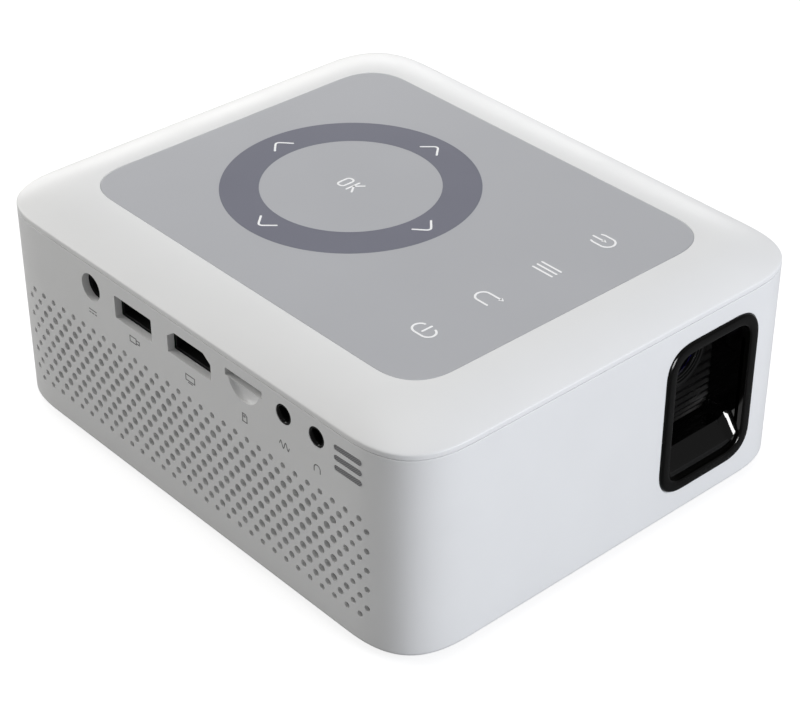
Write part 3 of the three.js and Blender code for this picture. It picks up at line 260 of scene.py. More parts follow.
def finish(name, tone, roughness, drift=0.04, grain=0.25, height=0.004, broad=18.0,
           metallic=0.0, stretch=(1, 1, 1), **sockets):
    """A finish with grain and drift: two tones that differ by drift, roughness by a tenth."""
    tone = np.array(tone)
    material = new_material(name, tone, roughness, metallic, **sockets)
    tones = (tone * (1 - drift), np.clip(tone * (1 + drift), 0, 1))
    add_variation(material, broad, tones, (roughness * 0.92, roughness * 1.1), stretch)
    add_grain(material, grain, height, stretch)
    return material


# %% [markdown]
# The finishes, one for each real material. White case plastic is warm satin; the panel is a grey
# film under a matte hard coat; bezel and hood are polished black, which shows as bright edges on
# near-black; socket bodies are black moulded nylon. The dark steel is darker than real steel: on the card
# socket that is painted shade.

# %% Finishes
def film(name, tone, roughness, drift=0.01, height=0.0005, **more):
    """A printed or coated film: hardly any drift and a grain too fine to see from afar."""
    return finish(name, tone, roughness, drift=drift, height=height, **more)


def metal(name, tone, roughness, grain=0.4, height=0.001, **more):
    """Bare metal with fine grain, brushed along the axis that is stretched most."""
    return finish(name, tone, roughness, grain=grain, height=height, metallic=1.0, **more)


CASE = finish("case_plastic", (0.80, 0.80, 0.795), 0.42, drift=0.006, grain=0.35, height=0.002)
PANEL = film("panel_film", (0.445, 0.45, 0.47), 0.34, drift=0.006, grain=0.12, height=0.0006, broad=40.0)
RING_PRINT = film("ring_print", (0.150, 0.153, 0.196), 0.36, grain=0.12, height=0.0006)
WHITE_PRINT = film("white_print", (0.95, 0.95, 0.95), 0.45, grain=0.1)
GREY_PRINT = film("grey_print", (0.17, 0.17, 0.17), 0.5, drift=0.03, grain=0.1)
BEZEL_BLACK = finish("bezel_black", (0.005, 0.005, 0.0045), 0.16, drift=0.1, grain=2.5, height=0.001,
                     Specular_IOR_Level=0.14)
GLOSS_BLACK = finish("gloss_black", (0.012, 0.012, 0.011), 0.10, drift=0.1, grain=2.5, height=0.002)
HOOD_BLACK = finish("hood_black", (0.003, 0.003, 0.003), 0.09, drift=0.1, grain=2.0, height=0.0006,
                    Specular_IOR_Level=0.3)
HOOD_MATTE = finish("hood_matte", (0.004, 0.004, 0.004), 0.42, drift=0.1, grain=0.3, height=0.002,
                    Specular_IOR_Level=0.3)
# Steel darkened far below real steel: on the card socket this tone is painted shade for the slot in front of
# it; the imager chip shares it.
DARK_STEEL_SLOT_SHADE = metal("dark_steel_slot_shade", (0.045, 0.045, 0.046), 0.5, stretch=(1, 8, 1))
NYLON_BLACK = finish("black_nylon", (0.006, 0.006, 0.006), 0.45, drift=0.12, grain=0.2, height=0.006,
                     broad=6.0)
RUBBER = finish("foot_rubber", (0.022, 0.022, 0.023), 0.78, drift=0.15, grain=0.3, height=0.015, broad=5.0)
STEEL = metal("plated_steel", (0.56, 0.57, 0.58), 0.3, stretch=(1, 8, 1))
ALUMINIUM = metal("raw_aluminium", (0.7, 0.71, 0.73), 0.36, grain=0.3, height=0.002, stretch=(1, 1, 7))
BRASS = metal("turned_brass", (0.66, 0.47, 0.2), 0.27, stretch=(1, 1, 9))
COPPER = metal("copper_pipe", (0.72, 0.36, 0.22), 0.3, drift=0.1, grain=0.5, height=0.002, broad=8.0)
SOLDER_MASK = finish("solder_mask", (0.012, 0.1, 0.045), 0.35, drift=0.12, grain=0.8, height=0.006, broad=5.0)
FILM_AMBER = finish("amber_film", (0.42, 0.17, 0.03), 0.3, drift=0.1, grain=0.6, height=0.003, broad=6.0)
PAPER_CONE = finish("paper_cone", (0.025, 0.024, 0.022), 0.8, drift=0.2, grain=0.5, height=0.03, broad=4.0)
GLASS = new_material("coated_glass", (0.86, 0.9, 1.0), 0.02, Transmission_Weight=1.0, IOR=1.52,
                     Coat_Weight=0.6, Coat_Roughness=0.03, Coat_Tint=(0.55, 0.4, 1.0, 1))
add_grain(GLASS, 6.0, 0.0004)
print(len(bpy.data.materials), "materials")

# %% [markdown]
# The body is one moulded ring: upright walls, a small round under the edge, soft corners, and on its
# left side the sockets and a field of several hundred vent holes. Cutting that many holes with
# booleans is slow and shades badly. Here the wall is unrolled flat, with the distance round the case
# as one coordinate and the distance up its section as the other. The holes are drawn in that flat
# sheet, it is triangulated once, and the flat points are then rolled back into the case.

# %% The case outline, by distance along it
def outline_table(width, depth, corner, power, steps=40):
    """Distance along a soft rectangle, its points and outward normals, from the back's middle round
    the left side to the front and the right side. The normal is the tangent turned clockwise."""
    points = soft_rect(width, depth, corner, power, steps)
    start = np.array([[0.0, depth / 2]])
    first = steps + 1  # the first point of the back left corner
    loop = np.concatenate([start, np.roll(points, -first, axis=0), start])
    step = np.diff(loop, axis=0)
    length = np.linalg.norm(step, axis=1)
    keep = np.concatenate([[True], length > 1e-6])
    loop = loop[keep]
    tangent = np.gradient(loop, axis=0)
    tangent[[0, -1]] = (-1, 0)
    tangent /= np.linalg.norm(tangent, axis=1, keepdims=True)
    distance = np.concatenate([[0], np.cumsum(np.linalg.norm(np.diff(loop, axis=0), axis=1))])
    return distance, loop, np.stack([tangent[:, 1], -tangent[:, 0]], 1)


RUN, RUN_POINTS, RUN_NORMALS = outline_table(WIDTH, DEPTH, CORNER, CORNER_POWER)
PERIMETER = RUN[-1]
LEFT_MIDDLE = PERIMETER / 4
FRONT_MIDDLE = PERIMETER / 2
RIGHT_MIDDLE = PERIMETER * 3 / 4


def roll(s, inset, z):
    """Points at distance s along the case, inset from its side, at height z."""
    s = np.asarray(s, float)
    point = np.stack([np.interp(s, RUN, RUN_POINTS[:, k]) for k in (0, 1)], -1)
    normal = np.stack([np.interp(s, RUN, RUN_NORMALS[:, k]) for k in (0, 1)], -1)
    normal /= np.linalg.norm(normal, axis=-1, keepdims=True)
    flat = point - normal * np.asarray(inset, float)[..., None]
    return np.concatenate([flat, np.broadcast_to(np.asarray(z, float), s.shape)[..., None]], -1)


print("perimeter %.1f mm, left middle at %s" % (PERIMETER, roll(LEFT_MIDDLE, 0.0, 0.0).round(2)))

# %% The wall's section: underside, lower round, upright, upper edge, rim
UNDER_Z, RIM_Z = BODY_LOW[2], BODY_HIGH[2]
UNDER_ROUND, RIM_ROUND = 1.2, 0.2
WALL_LOW, WALL_HIGH = UNDER_Z + UNDER_ROUND, RIM_Z - RIM_ROUND
SECTION_START = WALL_LOW - UNDER_ROUND * np.pi / 2 - (WALL - UNDER_ROUND)
SECTION_END = WALL_HIGH + RIM_ROUND * np.pi / 2 + (WALL - RIM_ROUND)


def section(v):
    """Inset and height on the outer skin at v along the section; v is the height on the upright part.
    Each round is a quarter circle, so inset is r (1 - cos a) and height r sin a past its start."""
    a_low = np.clip((WALL_LOW - v) / UNDER_ROUND, 0, np.pi / 2)
    a_high = np.clip((v - WALL_HIGH) / RIM_ROUND, 0, np.pi / 2)
    past_low = np.clip(WALL_LOW - UNDER_ROUND * np.pi / 2 - v, 0, None)
    past_high = np.clip(v - WALL_HIGH - RIM_ROUND * np.pi / 2, 0, None)
    inset = UNDER_ROUND * (1 - np.cos(a_low)) + past_low + RIM_ROUND * (1 - np.cos(a_high)) + past_high
    height = np.clip(v, WALL_LOW, WALL_HIGH) - UNDER_ROUND * np.sin(a_low) + RIM_ROUND * np.sin(a_high)
    return inset, height


# %% [markdown]
# Each hole is a loop in the flat sheet with a depth: through holes open the wall, and a blind one
# gets a floor, as the three sound slots do. On the left wall, distance along the case grows towards
# the front, so a place along Y turns into a distance by subtraction.

# %% Holes of the left wall
def on_left(loop_yz):
    """Loop of (y, z) on the left wall as (distance, height)."""
    return np.stack([LEFT_MIDDLE - loop_yz[:, 0], loop_yz[:, 1]], 1)


def left_hole(loop, y, drop):
    """A loop about its own middle, set on the left wall at y and at a drop below the seam."""
    return on_left(loop + (y, SEAM_Z - drop))


def mouth(width, height):
    """Socket mouth: a rectangle with its corners a little rounded."""
    return soft_rect(width, height, 0.35, 2, 3)


def stadium(length, height, steps=8):
    """Slot with half-round ends: two half circles half a slot height in radius."""
    a = np.linspace(-np.pi / 2, np.pi / 2, steps)
    half = np.stack([np.cos(a), np.sin(a)], 1) * height / 2 + ((length - height) / 2, 0)
    return np.concatenate([half, -half])


DC_Y, DC_DROP, DC_RADIUS = 36.3, 6.5, 3.75
USB_Y, USB_DROP, USB_SIZE = 19.0, 7.2, (14.75, 6.4)
VIDEO_Y, VIDEO_DROP, VIDEO_SIZE, VIDEO_CHAMFER = -3.0, 6.4, (16.6, 6.5), (2.75, 2.0)
CARD_Y, CARD_DROP, CARD_SIZE = -23.5, 3.9, (13.4, 2.0)
NOTCH_DROP, NOTCH_RADIUS, NOTCH_DEPTH = 3.5, 5.7, 1.9
JACKS = {"av_jack": (-37.8, 5.0), "headphone_jack": (-49.2, 5.0)}
JACK_RADIUS = 2.65
SLOT_Y, SLOT_DROP, SLOT_PITCH, SLOT_SIZE, SLOT_DEPTH = -59.5, 4.2, 2.78, (8.9, 1.6), 1.0


def video_mouth():
    """Wide six-sided mouth with its two upper corners cut."""
    half, low, high = VIDEO_SIZE[0] / 2, -VIDEO_SIZE[1] / 2, VIDEO_SIZE[1] / 2
    cut_w, cut_h = VIDEO_CHAMFER
    corners = [(-half, low), (half, low), (half, high - cut_h), (half - cut_w, high),
               (cut_w - half, high), (-half, high - cut_h)]
    return np.array(corners)


SLOT_DROPS = [SLOT_DROP + i * SLOT_PITCH for i in range(3)]
THROUGH = [
    left_hole(circle(DC_RADIUS, 40), DC_Y, DC_DROP),
    left_hole(mouth(*USB_SIZE), USB_Y, USB_DROP),
    left_hole(video_mouth(), VIDEO_Y, VIDEO_DROP),
    left_hole(mouth(*CARD_SIZE), CARD_Y, CARD_DROP),
]
THROUGH += [left_hole(circle(JACK_RADIUS, 32), y, drop) for y, drop in JACKS.values()]
BLIND = [left_hole(stadium(*SLOT_SIZE), SLOT_Y, drop) for drop in SLOT_DROPS]
print(len(THROUGH), "socket openings and", len(BLIND), "slots")

# %% [markdown]
# The vent field is a quincunx: rows of holes set off by half a pitch from each other, eleven rows
# high and thirty or thirty-one holes long. The holes shrink in the two outermost rows and columns,
# which makes the field fade out at its edge. The right side carries the same field behind the focus
# wheel, where the warm air leaves.

# %% The vent field
VENT_PITCH_S, VENT_PITCH_Z, VENT_ROWS, VENT_TOP = 4.34, 2.735, 11, 19.65
VENT_RADII = np.array([0.84, 1.0, 1.12])


def vent_holes(middle, low_s=-np.inf, high_s=np.inf, sides=12):
    """Hole loops about a wall's middle distance, kept between two offsets along the wall."""
    loops = []
    for row in range(VENT_ROWS):
        count = 31 if row % 2 else 30
        offsets = (np.arange(count) - (count - 1) / 2) * VENT_PITCH_S
        offsets = offsets[(offsets >= low_s) & (offsets <= high_s)]
        ends = [np.abs(offsets - offsets[0]), np.abs(offsets - offsets[-1])]
        column = np.min(ends, axis=0) // VENT_PITCH_S
        rank = np.minimum(column, min(row, VENT_ROWS - 1 - row)).astype(int).clip(0, 2)
        z = SEAM_Z - VENT_TOP - row * VENT_PITCH_Z
        loops += [circle(r, sides) + (middle + s, z) for r, s in zip(VENT_RADII[rank], offsets)]
    return loops


VENTS = vent_holes(LEFT_MIDDLE)
WARM_VENTS = vent_holes(RIGHT_MIDDLE, low_s=-46.0)
THROUGH += VENTS + WARM_VENTS
print(len(VENTS), "vent holes on the left,", len(WARM_VENTS), "on the right")

# %% Openings for the lens bezel and the focus wheel
DRAFT = 0.35  # the moulded frame narrows this much at its top and right
BEZEL_OPEN = (BEZEL_HIGH + BEZEL_LOW)[[0, 2]] / 2
BEZEL_SIZE = BEZEL_HIGH[[0, 2]] - BEZEL_LOW[[0, 2]] - DRAFT
BEZEL_MID = BEZEL_OPEN - DRAFT / 2
BEZEL_CORNER, BEZEL_POWER, BEZEL_FRAME = 9.0, 2.6, 3.0
BEZEL_FIT = 0.12


def bezel_loop(inset, steps=16):
    """Bezel outline at an inset from its outer edge, as (x, z)."""
    size = BEZEL_SIZE - 2 * inset
    return soft_rect(size[0], size[1], BEZEL_CORNER - inset, BEZEL_POWER, steps) + BEZEL_MID


def front_distance(x):
    """Distance along the case of a point at x on its front."""
    front = (RUN_POINTS[:, 1] < 0) & (np.abs(RUN - FRONT_MIDDLE) < PERIMETER / 6)
    return np.interp(x, RUN_POINTS[front, 0], RUN[front])


bezel_hole = bezel_loop(-BEZEL_FIT)
THROUGH.append(np.stack([front_distance(bezel_hole[:, 0]), bezel_hole[:, 1]], 1))
WHEEL_LOW, WHEEL_HIGH = box_mm("focus_wheel")
WHEEL_MID = (WHEEL_LOW + WHEEL_HIGH) / 2
WHEEL_RIM = (WHEEL_HIGH[0] - WHEEL_LOW[0]) / 2  # across opposite teeth
WHEEL_ROOM, WHEEL_SLOT_ROUND = (1.2, 1.1), 1.2  # room across in all, and at each end
half_chord = np.sqrt(WHEEL_RIM ** 2 - (-LEFT - WALL - WHEEL_MID[0]) ** 2) + WHEEL_ROOM[1]
slot_width = WHEEL_HIGH[1] - WHEEL_LOW[1] + WHEEL_ROOM[0]
wheel_slot = soft_rect(slot_width, 2 * half_chord, WHEEL_SLOT_ROUND, 2, 5)
THROUGH.append(wheel_slot + (RIGHT_MIDDLE + WHEEL_MID[1], WHEEL_MID[2]))
print("wheel slot %.1f x %.1f mm" % (slot_width, 2 * half_chord))

# %% [markdown]
# Now the flat sheet is triangulated. The background points are close together round the corners,
# where the wall curves, and wide apart on the flats. Points inside a hole or hard against its edge
# are dropped first, so no sliver triangles form there.

# %% Triangulate the unrolled wall
def inside(points, loop):
    """Which points lie in a loop: an odd number of its edges crosses a ray to the right."""
    x, y = points[:, :1], points[:, 1:]
    a, b = loop, np.roll(loop, -1, axis=0)
    crosses = (a[:, 1] > y) != (b[:, 1] > y)
    slope = np.where(b[:, 1] == a[:, 1], 1.0, b[:, 1] - a[:, 1])
    at = a[:, 0] + (y - a[:, 1]) * (b[:, 0] - a[:, 0]) / slope
    return (crosses & (x < at)).sum(1) % 2 == 1


def mark_inside(points, loops, margin=0.0):
    """Index of the loop that each point is in, or -1; only points near a loop are tested."""
    owner = np.full(len(points), -1)
    for number, loop in enumerate(loops):
        middle = loop.mean(0)
        grown = middle + (loop - middle) * (1 + margin / np.linalg.norm(loop - middle, axis=1).min())
        low, high = grown.min(0), grown.max(0)
        near = np.flatnonzero(((points >= low) & (points <= high)).all(1))
        owner[near[inside(points[near], grown)]] = number
    return owner


BEND_ROWS = np.concatenate([
    [SECTION_START], WALL_LOW - UNDER_ROUND * np.linspace(np.pi / 2, 0, 6),
    [WALL_LOW + 0.15, WALL_HIGH - 0.15],
    WALL_HIGH + RIM_ROUND * np.linspace(0, np.pi / 2, 3), [SECTION_END],
])


def background_points():
    """Columns every millimetre or so round the corners and wider on the flats, by rows up the wall."""
    turning = np.abs(np.diff(np.unwrap(np.arctan2(RUN_NORMALS[:, 1], RUN_NORMALS[:, 0]))))
    weight = np.concatenate([[0], np.cumsum(turning / 0.045 + np.diff(RUN) / 4.0)])
    columns = np.interp(np.linspace(0, weight[-1], int(weight[-1]) + 1), weight, RUN)
    upright = np.linspace(WALL_LOW, WALL_HIGH, 12)[1:-1]
    s, v = np.meshgrid(columns, np.sort(np.concatenate([BEND_ROWS, upright])))
    return np.stack([s.ravel(), v.ravel()], 1)


def row_edges(points):
    """Edges along the rows where the section bends, so that no triangle cuts across a bend."""
    pairs = []
    for row in BEND_ROWS:
        on_row = np.flatnonzero(np.abs(points[:, 1] - row) < 1e-7)
        on_row = on_row[np.argsort(points[on_row, 0])]
        pairs += np.stack([on_row[:-1], on_row[1:]], 1).tolist()
    return pairs


def notch_points():
    """Rings of points under the card slot, for the scooped finger notch."""
    reach = np.sin(np.linspace(0.1, np.pi / 2, 15)) * NOTCH_RADIUS
    r, a = np.meshgrid(reach, np.linspace(np.pi, 2 * np.pi, 49))
    z = SEAM_Z - NOTCH_DROP + r * np.sin(a)
    return on_left(np.stack([(CARD_Y + r * np.cos(a)).ravel(), z.ravel()], 1))


def triangulate(points, kept_edges):
    """Delaunay triangles of plane points that keep the given edges: new points and triples."""
    flat, _, faces, *_ = delaunay_2d_cdt(points.tolist(), kept_edges, [], 0, 1e-7)
    return np.array([tuple(point) for point in flat]), np.array(faces)


HOLES = THROUGH + BLIND
ground = np.concatenate([background_points(), notch_points()])
border = np.isin(ground[:, 1], (SECTION_START, SECTION_END)) | np.isin(ground[:, 0], (0.0, PERIMETER))
ground = ground[border | (mark_inside(ground, HOLES, margin=0.22) < 0)]
loop_sizes = np.array([len(loop) for loop in HOLES])
starts = len(ground) + np.concatenate([[0], np.cumsum(loop_sizes)[:-1]])
edges = []
for start, size in zip(starts, loop_sizes):
    edges += [(int(start + i), int(start + (i + 1) % size)) for i in range(size)]
edges += row_edges(ground)
flat_points, triangles = triangulate(np.concatenate([ground, *HOLES]), edges)
print(len(flat_points), "flat points,", len(triangles), "triangles")

# %% [markdown]
# The same triangles serve three surfaces: the outer skin without any hole, the inner skin without
# the through holes, and the floors of the blind slots. Quads along the free edges tie them together
# into one closed wall. Under the card slot the outer skin is pressed in a little for a fingertip.

# %% Roll the sheet into the body
def notch_inset(points):
    """Depth of the finger notch: its depth times a flattened dome, (1 - (r / R) squared) to 0.3."""
    y, z = LEFT_MIDDLE - points[:, 0] - CARD_Y, points[:, 1] - (SEAM_Z - NOTCH_DROP)
    share = np.clip(1 - (y ** 2 + z ** 2) / NOTCH_RADIUS ** 2, 0, 1)
    below_slot = z < NOTCH_DROP - CARD_DROP - CARD_SIZE[1] / 2 + 0.05
    return NOTCH_DEPTH * share ** 0.3 * below_slot


def free_edges(faces):
    """Directed edges used by one triangle only, so they bound the surface."""
    directed = np.concatenate([faces[:, [0, 1]], faces[:, [1, 2]], faces[:, [2, 0]]])
    key = np.sort(directed, 1)
    _, first, counts = np.unique(key, axis=0, return_index=True, return_counts=True)
    return directed[first[counts == 1]]


def orient(faces, points):
    """Turns each flat triangle counter-clockwise."""
    a, b, c = (points[faces[:, k]] for k in range(3))
    area = (b[:, 0] - a[:, 0]) * (c[:, 1] - a[:, 1]) - (b[:, 1] - a[:, 1]) * (c[:, 0] - a[:, 0])
    return np.where((area < 0)[:, None], faces[:, ::-1], faces)[np.abs(area) > 1e-9]


def body_shape():
    """Closed wall made of the outer skin, the inner skin, the slot floors and the edges between."""
    faces = orient(triangles, flat_points)
    hole = mark_inside(flat_points[faces].mean(1), HOLES)
    outer = faces[hole < 0]
    inner = faces[(hole < 0) | (hole >= len(THROUGH))]
    floors = faces[hole >= len(THROUGH)]
    count = len(flat_points)
    s, v = flat_points.T
    inset, height = section(v)
    bends = [SECTION_START, WALL_LOW, WALL_HIGH, SECTION_END]
    inner_z = np.interp(v, bends, [UNDER_Z, WALL_LOW, WALL_HIGH, RIM_Z])
    skins = [
        roll(s, inset + notch_inset(flat_points), height),
        roll(s, np.full(count, WALL), inner_z),
        roll(s, np.full(count, SLOT_DEPTH), inner_z),
    ]
    vertices = np.concatenate(skins)
    rim = (np.abs(v - SECTION_START) < 1e-6) | (np.abs(v - SECTION_END) < 1e-6)
    seam = (s < 1e-6) | (s > PERIMETER - 1e-6)

    def bridge(surface, first, second):
        """Quads between the free edges of one skin and the same edges of another."""
        e = free_edges(surface)
        e = e[~(rim[e].all(1) | seam[e].all(1))]
        return np.stack([e[:, 1] + first * count, e[:, 0] + first * count, e[:, 0] + second * count,
                         e[:, 1] + second * count], 1)

    through_walls = bridge(inner, 0, 1)
    floor_edges = free_edges(floors)
    slot_walls = np.stack([floor_edges[:, 0], floor_edges[:, 1], floor_edges[:, 1] + 2 * count,
                           floor_edges[:, 0] + 2 * count], 1)
    polygons = [outer.tolist(), (inner[:, ::-1] + count).tolist(), (floors + 2 * count).tolist(),
                through_walls.tolist(), slot_walls.tolist()]
    return vertices, [face for group in polygons for face in group]


def weld(shape, distance=1e-4):
    """Merges vertices closer than distance, in millimetres, and drops unused ones."""
    vertices, faces = shape
    used = np.unique(np.concatenate([np.asarray(face) for face in faces]))
    keys = np.round(vertices[used] / distance / 10).astype(np.int64)
    _, first, inverse = np.unique(keys, axis=0, return_index=True, return_inverse=True)
    target = np.zeros(len(vertices), int)
    target[used] = inverse.ravel()
    merged = vertices[used][first]
    renumbered = [list(dict.fromkeys(target[face].tolist())) for face in faces]
    return merged, [face for face in renumbered if len(face) > 2]


make_piece("body_wall", weld(body_shape()), CASE, replaces=["body_shell"], sharp=40)

# %% [markdown]
# The top cover is one domed ring round the panel. Its section climbs a short upright lip, breaks
# over a crisp edge and follows a circular arc that ends level with the panel. The section is a
# closed loop, carried round the case, so the cover is a ring with no open edge. Its outline changes
# along the section: squarer corners outside, rounder and smaller ones at the panel.

# %% Top cover
CROWN_MARGIN = (WIDTH - (PANEL_HIGH[0] - PANEL_LOW[0])) / 2
LIP, LIP_ROUND = 1.3, 0.35
COVER_Z = SEAM_Z - 0.02
CROWN_RISE = TOP_Z - SEAM_Z - LIP


def case_loops(insets, heights, steps=24):
    """Loops round the case at each inset and height; the corner eases from case to panel corner."""
    loops = []
    for inset, height in zip(insets, heights):
        share = min(max(inset, 0) / CROWN_MARGIN, 1)
        corner = CORNER + (PANEL_CORNER - CORNER) * share
        power = CORNER_POWER + (PANEL_POWER - CORNER_POWER) * share
        flat = soft_rect(WIDTH - 2 * inset, DEPTH - 2 * inset, corner, power, steps)
        loops.append(place(flat, height))
    return np.array(loops)


def crown_section(steps=22):
    """Inset and height up the lip, over the edge and along the arc. The arc's slope falls evenly from
    its start to level; inset and height are the sine and cosine of the slope times the radius."""
    sweep = 2 * np.arctan(CROWN_RISE / CROWN_MARGIN)
    radius = CROWN_MARGIN / np.sin(sweep)
    slope = np.linspace(sweep, 0, steps)
    inset = CROWN_MARGIN - radius * np.sin(slope)
    height = TOP_Z - radius * (1 - np.cos(slope))
    lip_top = SEAM_Z + LIP
    turn = np.linspace(0, 1, 5)[:, None]
    below, above = np.array([0, lip_top - LIP_ROUND]), np.array([inset[0], lip_top])
    beyond = above + LIP_ROUND * np.array([np.cos(sweep), np.sin(sweep)])
    edge = (1 - turn) ** 2 * below + 2 * turn * (1 - turn) * above + turn ** 2 * beyond
    arc = np.column_stack([inset, height])
    return np.concatenate([edge, arc[arc[:, 0] > beyond[0] + 0.1]])


PANEL_GAP = 0.03
COVER_EASE, INNER_EASE = 0.15, 0.06  # softened lower edge, and the edge beside the panel
LEDGE_WIDTH, LEDGE_THICK = 3, 1.2  # the ledge that carries the panel
COVER_FOOT = (3.0, 6.0)  # inset of the ring's underside, and of its inner wall
dome = crown_section()
under = [[COVER_FOOT[0], COVER_Z], [COVER_EASE, COVER_Z], [0.0, COVER_Z + COVER_EASE]]
ledge = TOP_Z - 1.4
lip_in = CROWN_MARGIN - PANEL_GAP
dome[-1] = (lip_in - INNER_EASE, TOP_Z)
seat = [[lip_in, TOP_Z - INNER_EASE], [lip_in, ledge], [lip_in + LEDGE_WIDTH, ledge],
        [lip_in + LEDGE_WIDTH, ledge - LEDGE_THICK], [COVER_FOOT[1], ledge - LEDGE_THICK]]
cover_section = np.concatenate([under, dome, seat])
make_piece("domed_cover", skin(case_loops(*cover_section.T), ring=True), CASE,
           replaces=["top_cover"], sharp=28)

# %% [markdown]
# The touch panel is a grey film bonded to a flat plate. It carries printed marks: a darker ring with
# four chevrons, the word OK, and a row of four symbols. Each print is a layer a few hundredths of a
# millimetre thick, made as real geometry so that its edge stays sharp close up.

# %% Touch panel plate
PANEL_DEEP, PANEL_EASE = 1.3, 0.1
panel_section = [[CROWN_MARGIN, TOP_Z - PANEL_DEEP], [CROWN_MARGIN, TOP_Z - PANEL_EASE]]
panel_section += [[CROWN_MARGIN + inset, TOP_Z] for inset in (PANEL_EASE, 0.35, 0.6)]
make_piece("panel_plate", skin(case_loops(*np.array(panel_section).T)), PANEL,
           replaces=["touch_panel"], sharp=50)

# %% Ring print
PRINT = 0.02
RING_CENTRE, RING_OUTER, RING_INNER = np.array([0.25, 15.6]), 33.1, 23.1
ring_edges = [circle(1.0, 160) * radius + RING_CENTRE for radius in (RING_INNER, RING_OUTER)]
make_piece("ring_print", band(*ring_edges, TOP_Z, TOP_Z + PRINT), RING_PRINT)

# %% [markdown]
# A printed mark is a stroke: a path with a width and round ends. The outline of a stroke is its path
# moved half a width to each side, closed by a half circle at each end. Inside a bend the two sides
# meet on the mitre, which keeps the width even.

# %% Strokes
def stroke_outline(path, width, cap=7):
    """Loop round a path: mitred offsets to both sides and half circles at the ends."""
    path = np.asarray(path, float)
    along = np.diff(path, axis=0)
    along /= np.linalg.norm(along, axis=1, keepdims=True)
    before, after = np.vstack([along[:1], along]), np.vstack([along, along[-1:]])
    mean = before + after
    mean /= np.linalg.norm(mean, axis=1, keepdims=True)
    stretch = 1 / np.clip((mean * after).sum(1, keepdims=True), 0.35, 1)
    side = np.stack([-mean[:, 1], mean[:, 0]], 1) * stretch * width / 2

    def end(point, direction):
        """Half circle round an end, from its left side to its right."""
        a = np.linspace(0, np.pi, cap)[1:-1, None]
        left = np.array([-direction[1], direction[0]])
        return point + width / 2 * (np.cos(a) * left + np.sin(a) * direction)

    return np.concatenate([(path - side), end(path[-1], along[-1])[::-1], (path + side)[::-1],
                           end(path[0], -along[0])[::-1]])


def closed_stroke(path, width, low, high):
    """Closed path widened to both sides along the mean normals of its neighbours, as a flat ring."""
    path = np.asarray(path, float)
    along = np.roll(path, -1, 0) - np.roll(path, 1, 0)
    along /= np.linalg.norm(along, axis=1, keepdims=True)
    out = np.stack([along[:, 1], -along[:, 0]], 1) * width / 2
    return band(path - out, path + out, low, high)


def arc(centre, radius, start, stop, steps=16, squash=1.0):
    """Points on a circular arc between two angles in degrees; squash scales it along the first axis."""
    a = np.radians(np.linspace(start, stop, steps))
    return np.stack([centre[0] + squash * radius * np.cos(a), centre[1] + radius * np.sin(a)], 1)


def cut_corner(before, corner, after, reach, steps):
    """Quadratic curve in place of a corner, from one reach before it to one reach after it: the
    weights of start, corner and end are (1 - t) squared, 2 t (1 - t) and t squared."""
    t = np.linspace(0, 1, steps)[:, None]
    a = corner + (before - corner) / np.linalg.norm(before - corner) * reach
    b = corner + (after - corner) / np.linalg.norm(after - corner) * reach
    return (1 - t) ** 2 * a + 2 * t * (1 - t) * corner + t ** 2 * b


# %% [markdown]
# The marks are set out in the panel's own plane. The chevrons point away from the ring's centre.
# The symbols stand for power, back, menu and input. The word OK reads from the socket side.

# %% Marks on the panel
LINE = 0.56
MARK_LEVELS = (TOP_Z + PRINT * 0.5, TOP_Z + 2 * PRINT)
CHEVRON_TIP, CHEVRON_FOOT, CHEVRON_HALF, CHEVRON_EASE = 29.9, 26.5, 3.05, 1.3


def chevron(turn):
    """Rounded arrow head on the ring that points away from its centre, turned about the centre."""
    ends = np.array([(CHEVRON_FOOT, -CHEVRON_HALF), (CHEVRON_TIP, 0.0), (CHEVRON_FOOT, CHEVRON_HALF)])
    path = np.concatenate([ends[:1], cut_corner(*ends, CHEVRON_EASE, 6), ends[2:]])
    c, s = np.cos(turn), np.sin(turn)
    return path @ np.array([[c, s], [-s, c]]) + RING_CENTRE


def power_mark(at):
    """Upright loop open on the right, with a bar out through the gap."""
    half_w, half_h = 1.95, 3.2
    upper = arc((0, half_h - half_w), half_w, 15, 180, 14)
    lower = arc((0, half_w - half_h), half_w, 180, 345, 14)
    return [np.concatenate([upper, lower]) + at, np.array([(-0.55, 0.0), (2.35, 0.0)]) + at]


def back_mark(at):
    """Arch with a short left leg and a longer right leg that ends in an arrow head."""
    half = 2.0
    arch = np.concatenate([[(half, -2.3)], arc((0, 1.3), half, 0, 180, 16), [(-half, -1.9)]])
    return [arch + at], [np.array([(half - 0.75, -2.2), (half, -3.4), (half + 0.75, -2.2)]) + at]


def menu_mark(at):
    """Three even lines."""
    return [np.array([(x, -3.1), (x, 3.1)]) + at for x in (-1.53, 0.0, 1.53)]


def input_mark(at):
    """Cup open at the top with an arrow that points down into it."""
    half = 2.15
    cup = np.concatenate([[(-half + 0.25, 2.35), (-half, 1.6)], arc((0, -1.0), half, 180, 360, 16),
                          [(half, 1.6), (half - 0.25, 2.35)]])
    head = np.array([(-0.7, 0.2), (0.0, -1.0), (0.7, 0.2)])
    return [cup + at, np.array([(0.0, 3.4), (0.0, 0.1)]) + at], [head + at]


def letters_ok(at):
    """OK with its top towards the right side of the case: the O's closed path and the K's strokes."""
    tall = 4.3
    o = soft_rect(tall, 2.2, 0.95, 2, 6) + (0, 1.95)
    k_base = -0.8
    stem = [(-tall / 2, k_base), (tall / 2, k_base)]
    arm = [(tall / 2, k_base - 2.0), (0.1, k_base - 0.25)]
    leg = [(0.1, k_base - 0.25), (-tall / 2, k_base - 2.0)]
    return o + at, [np.asarray(path) + at for path in (stem, arm, leg)]


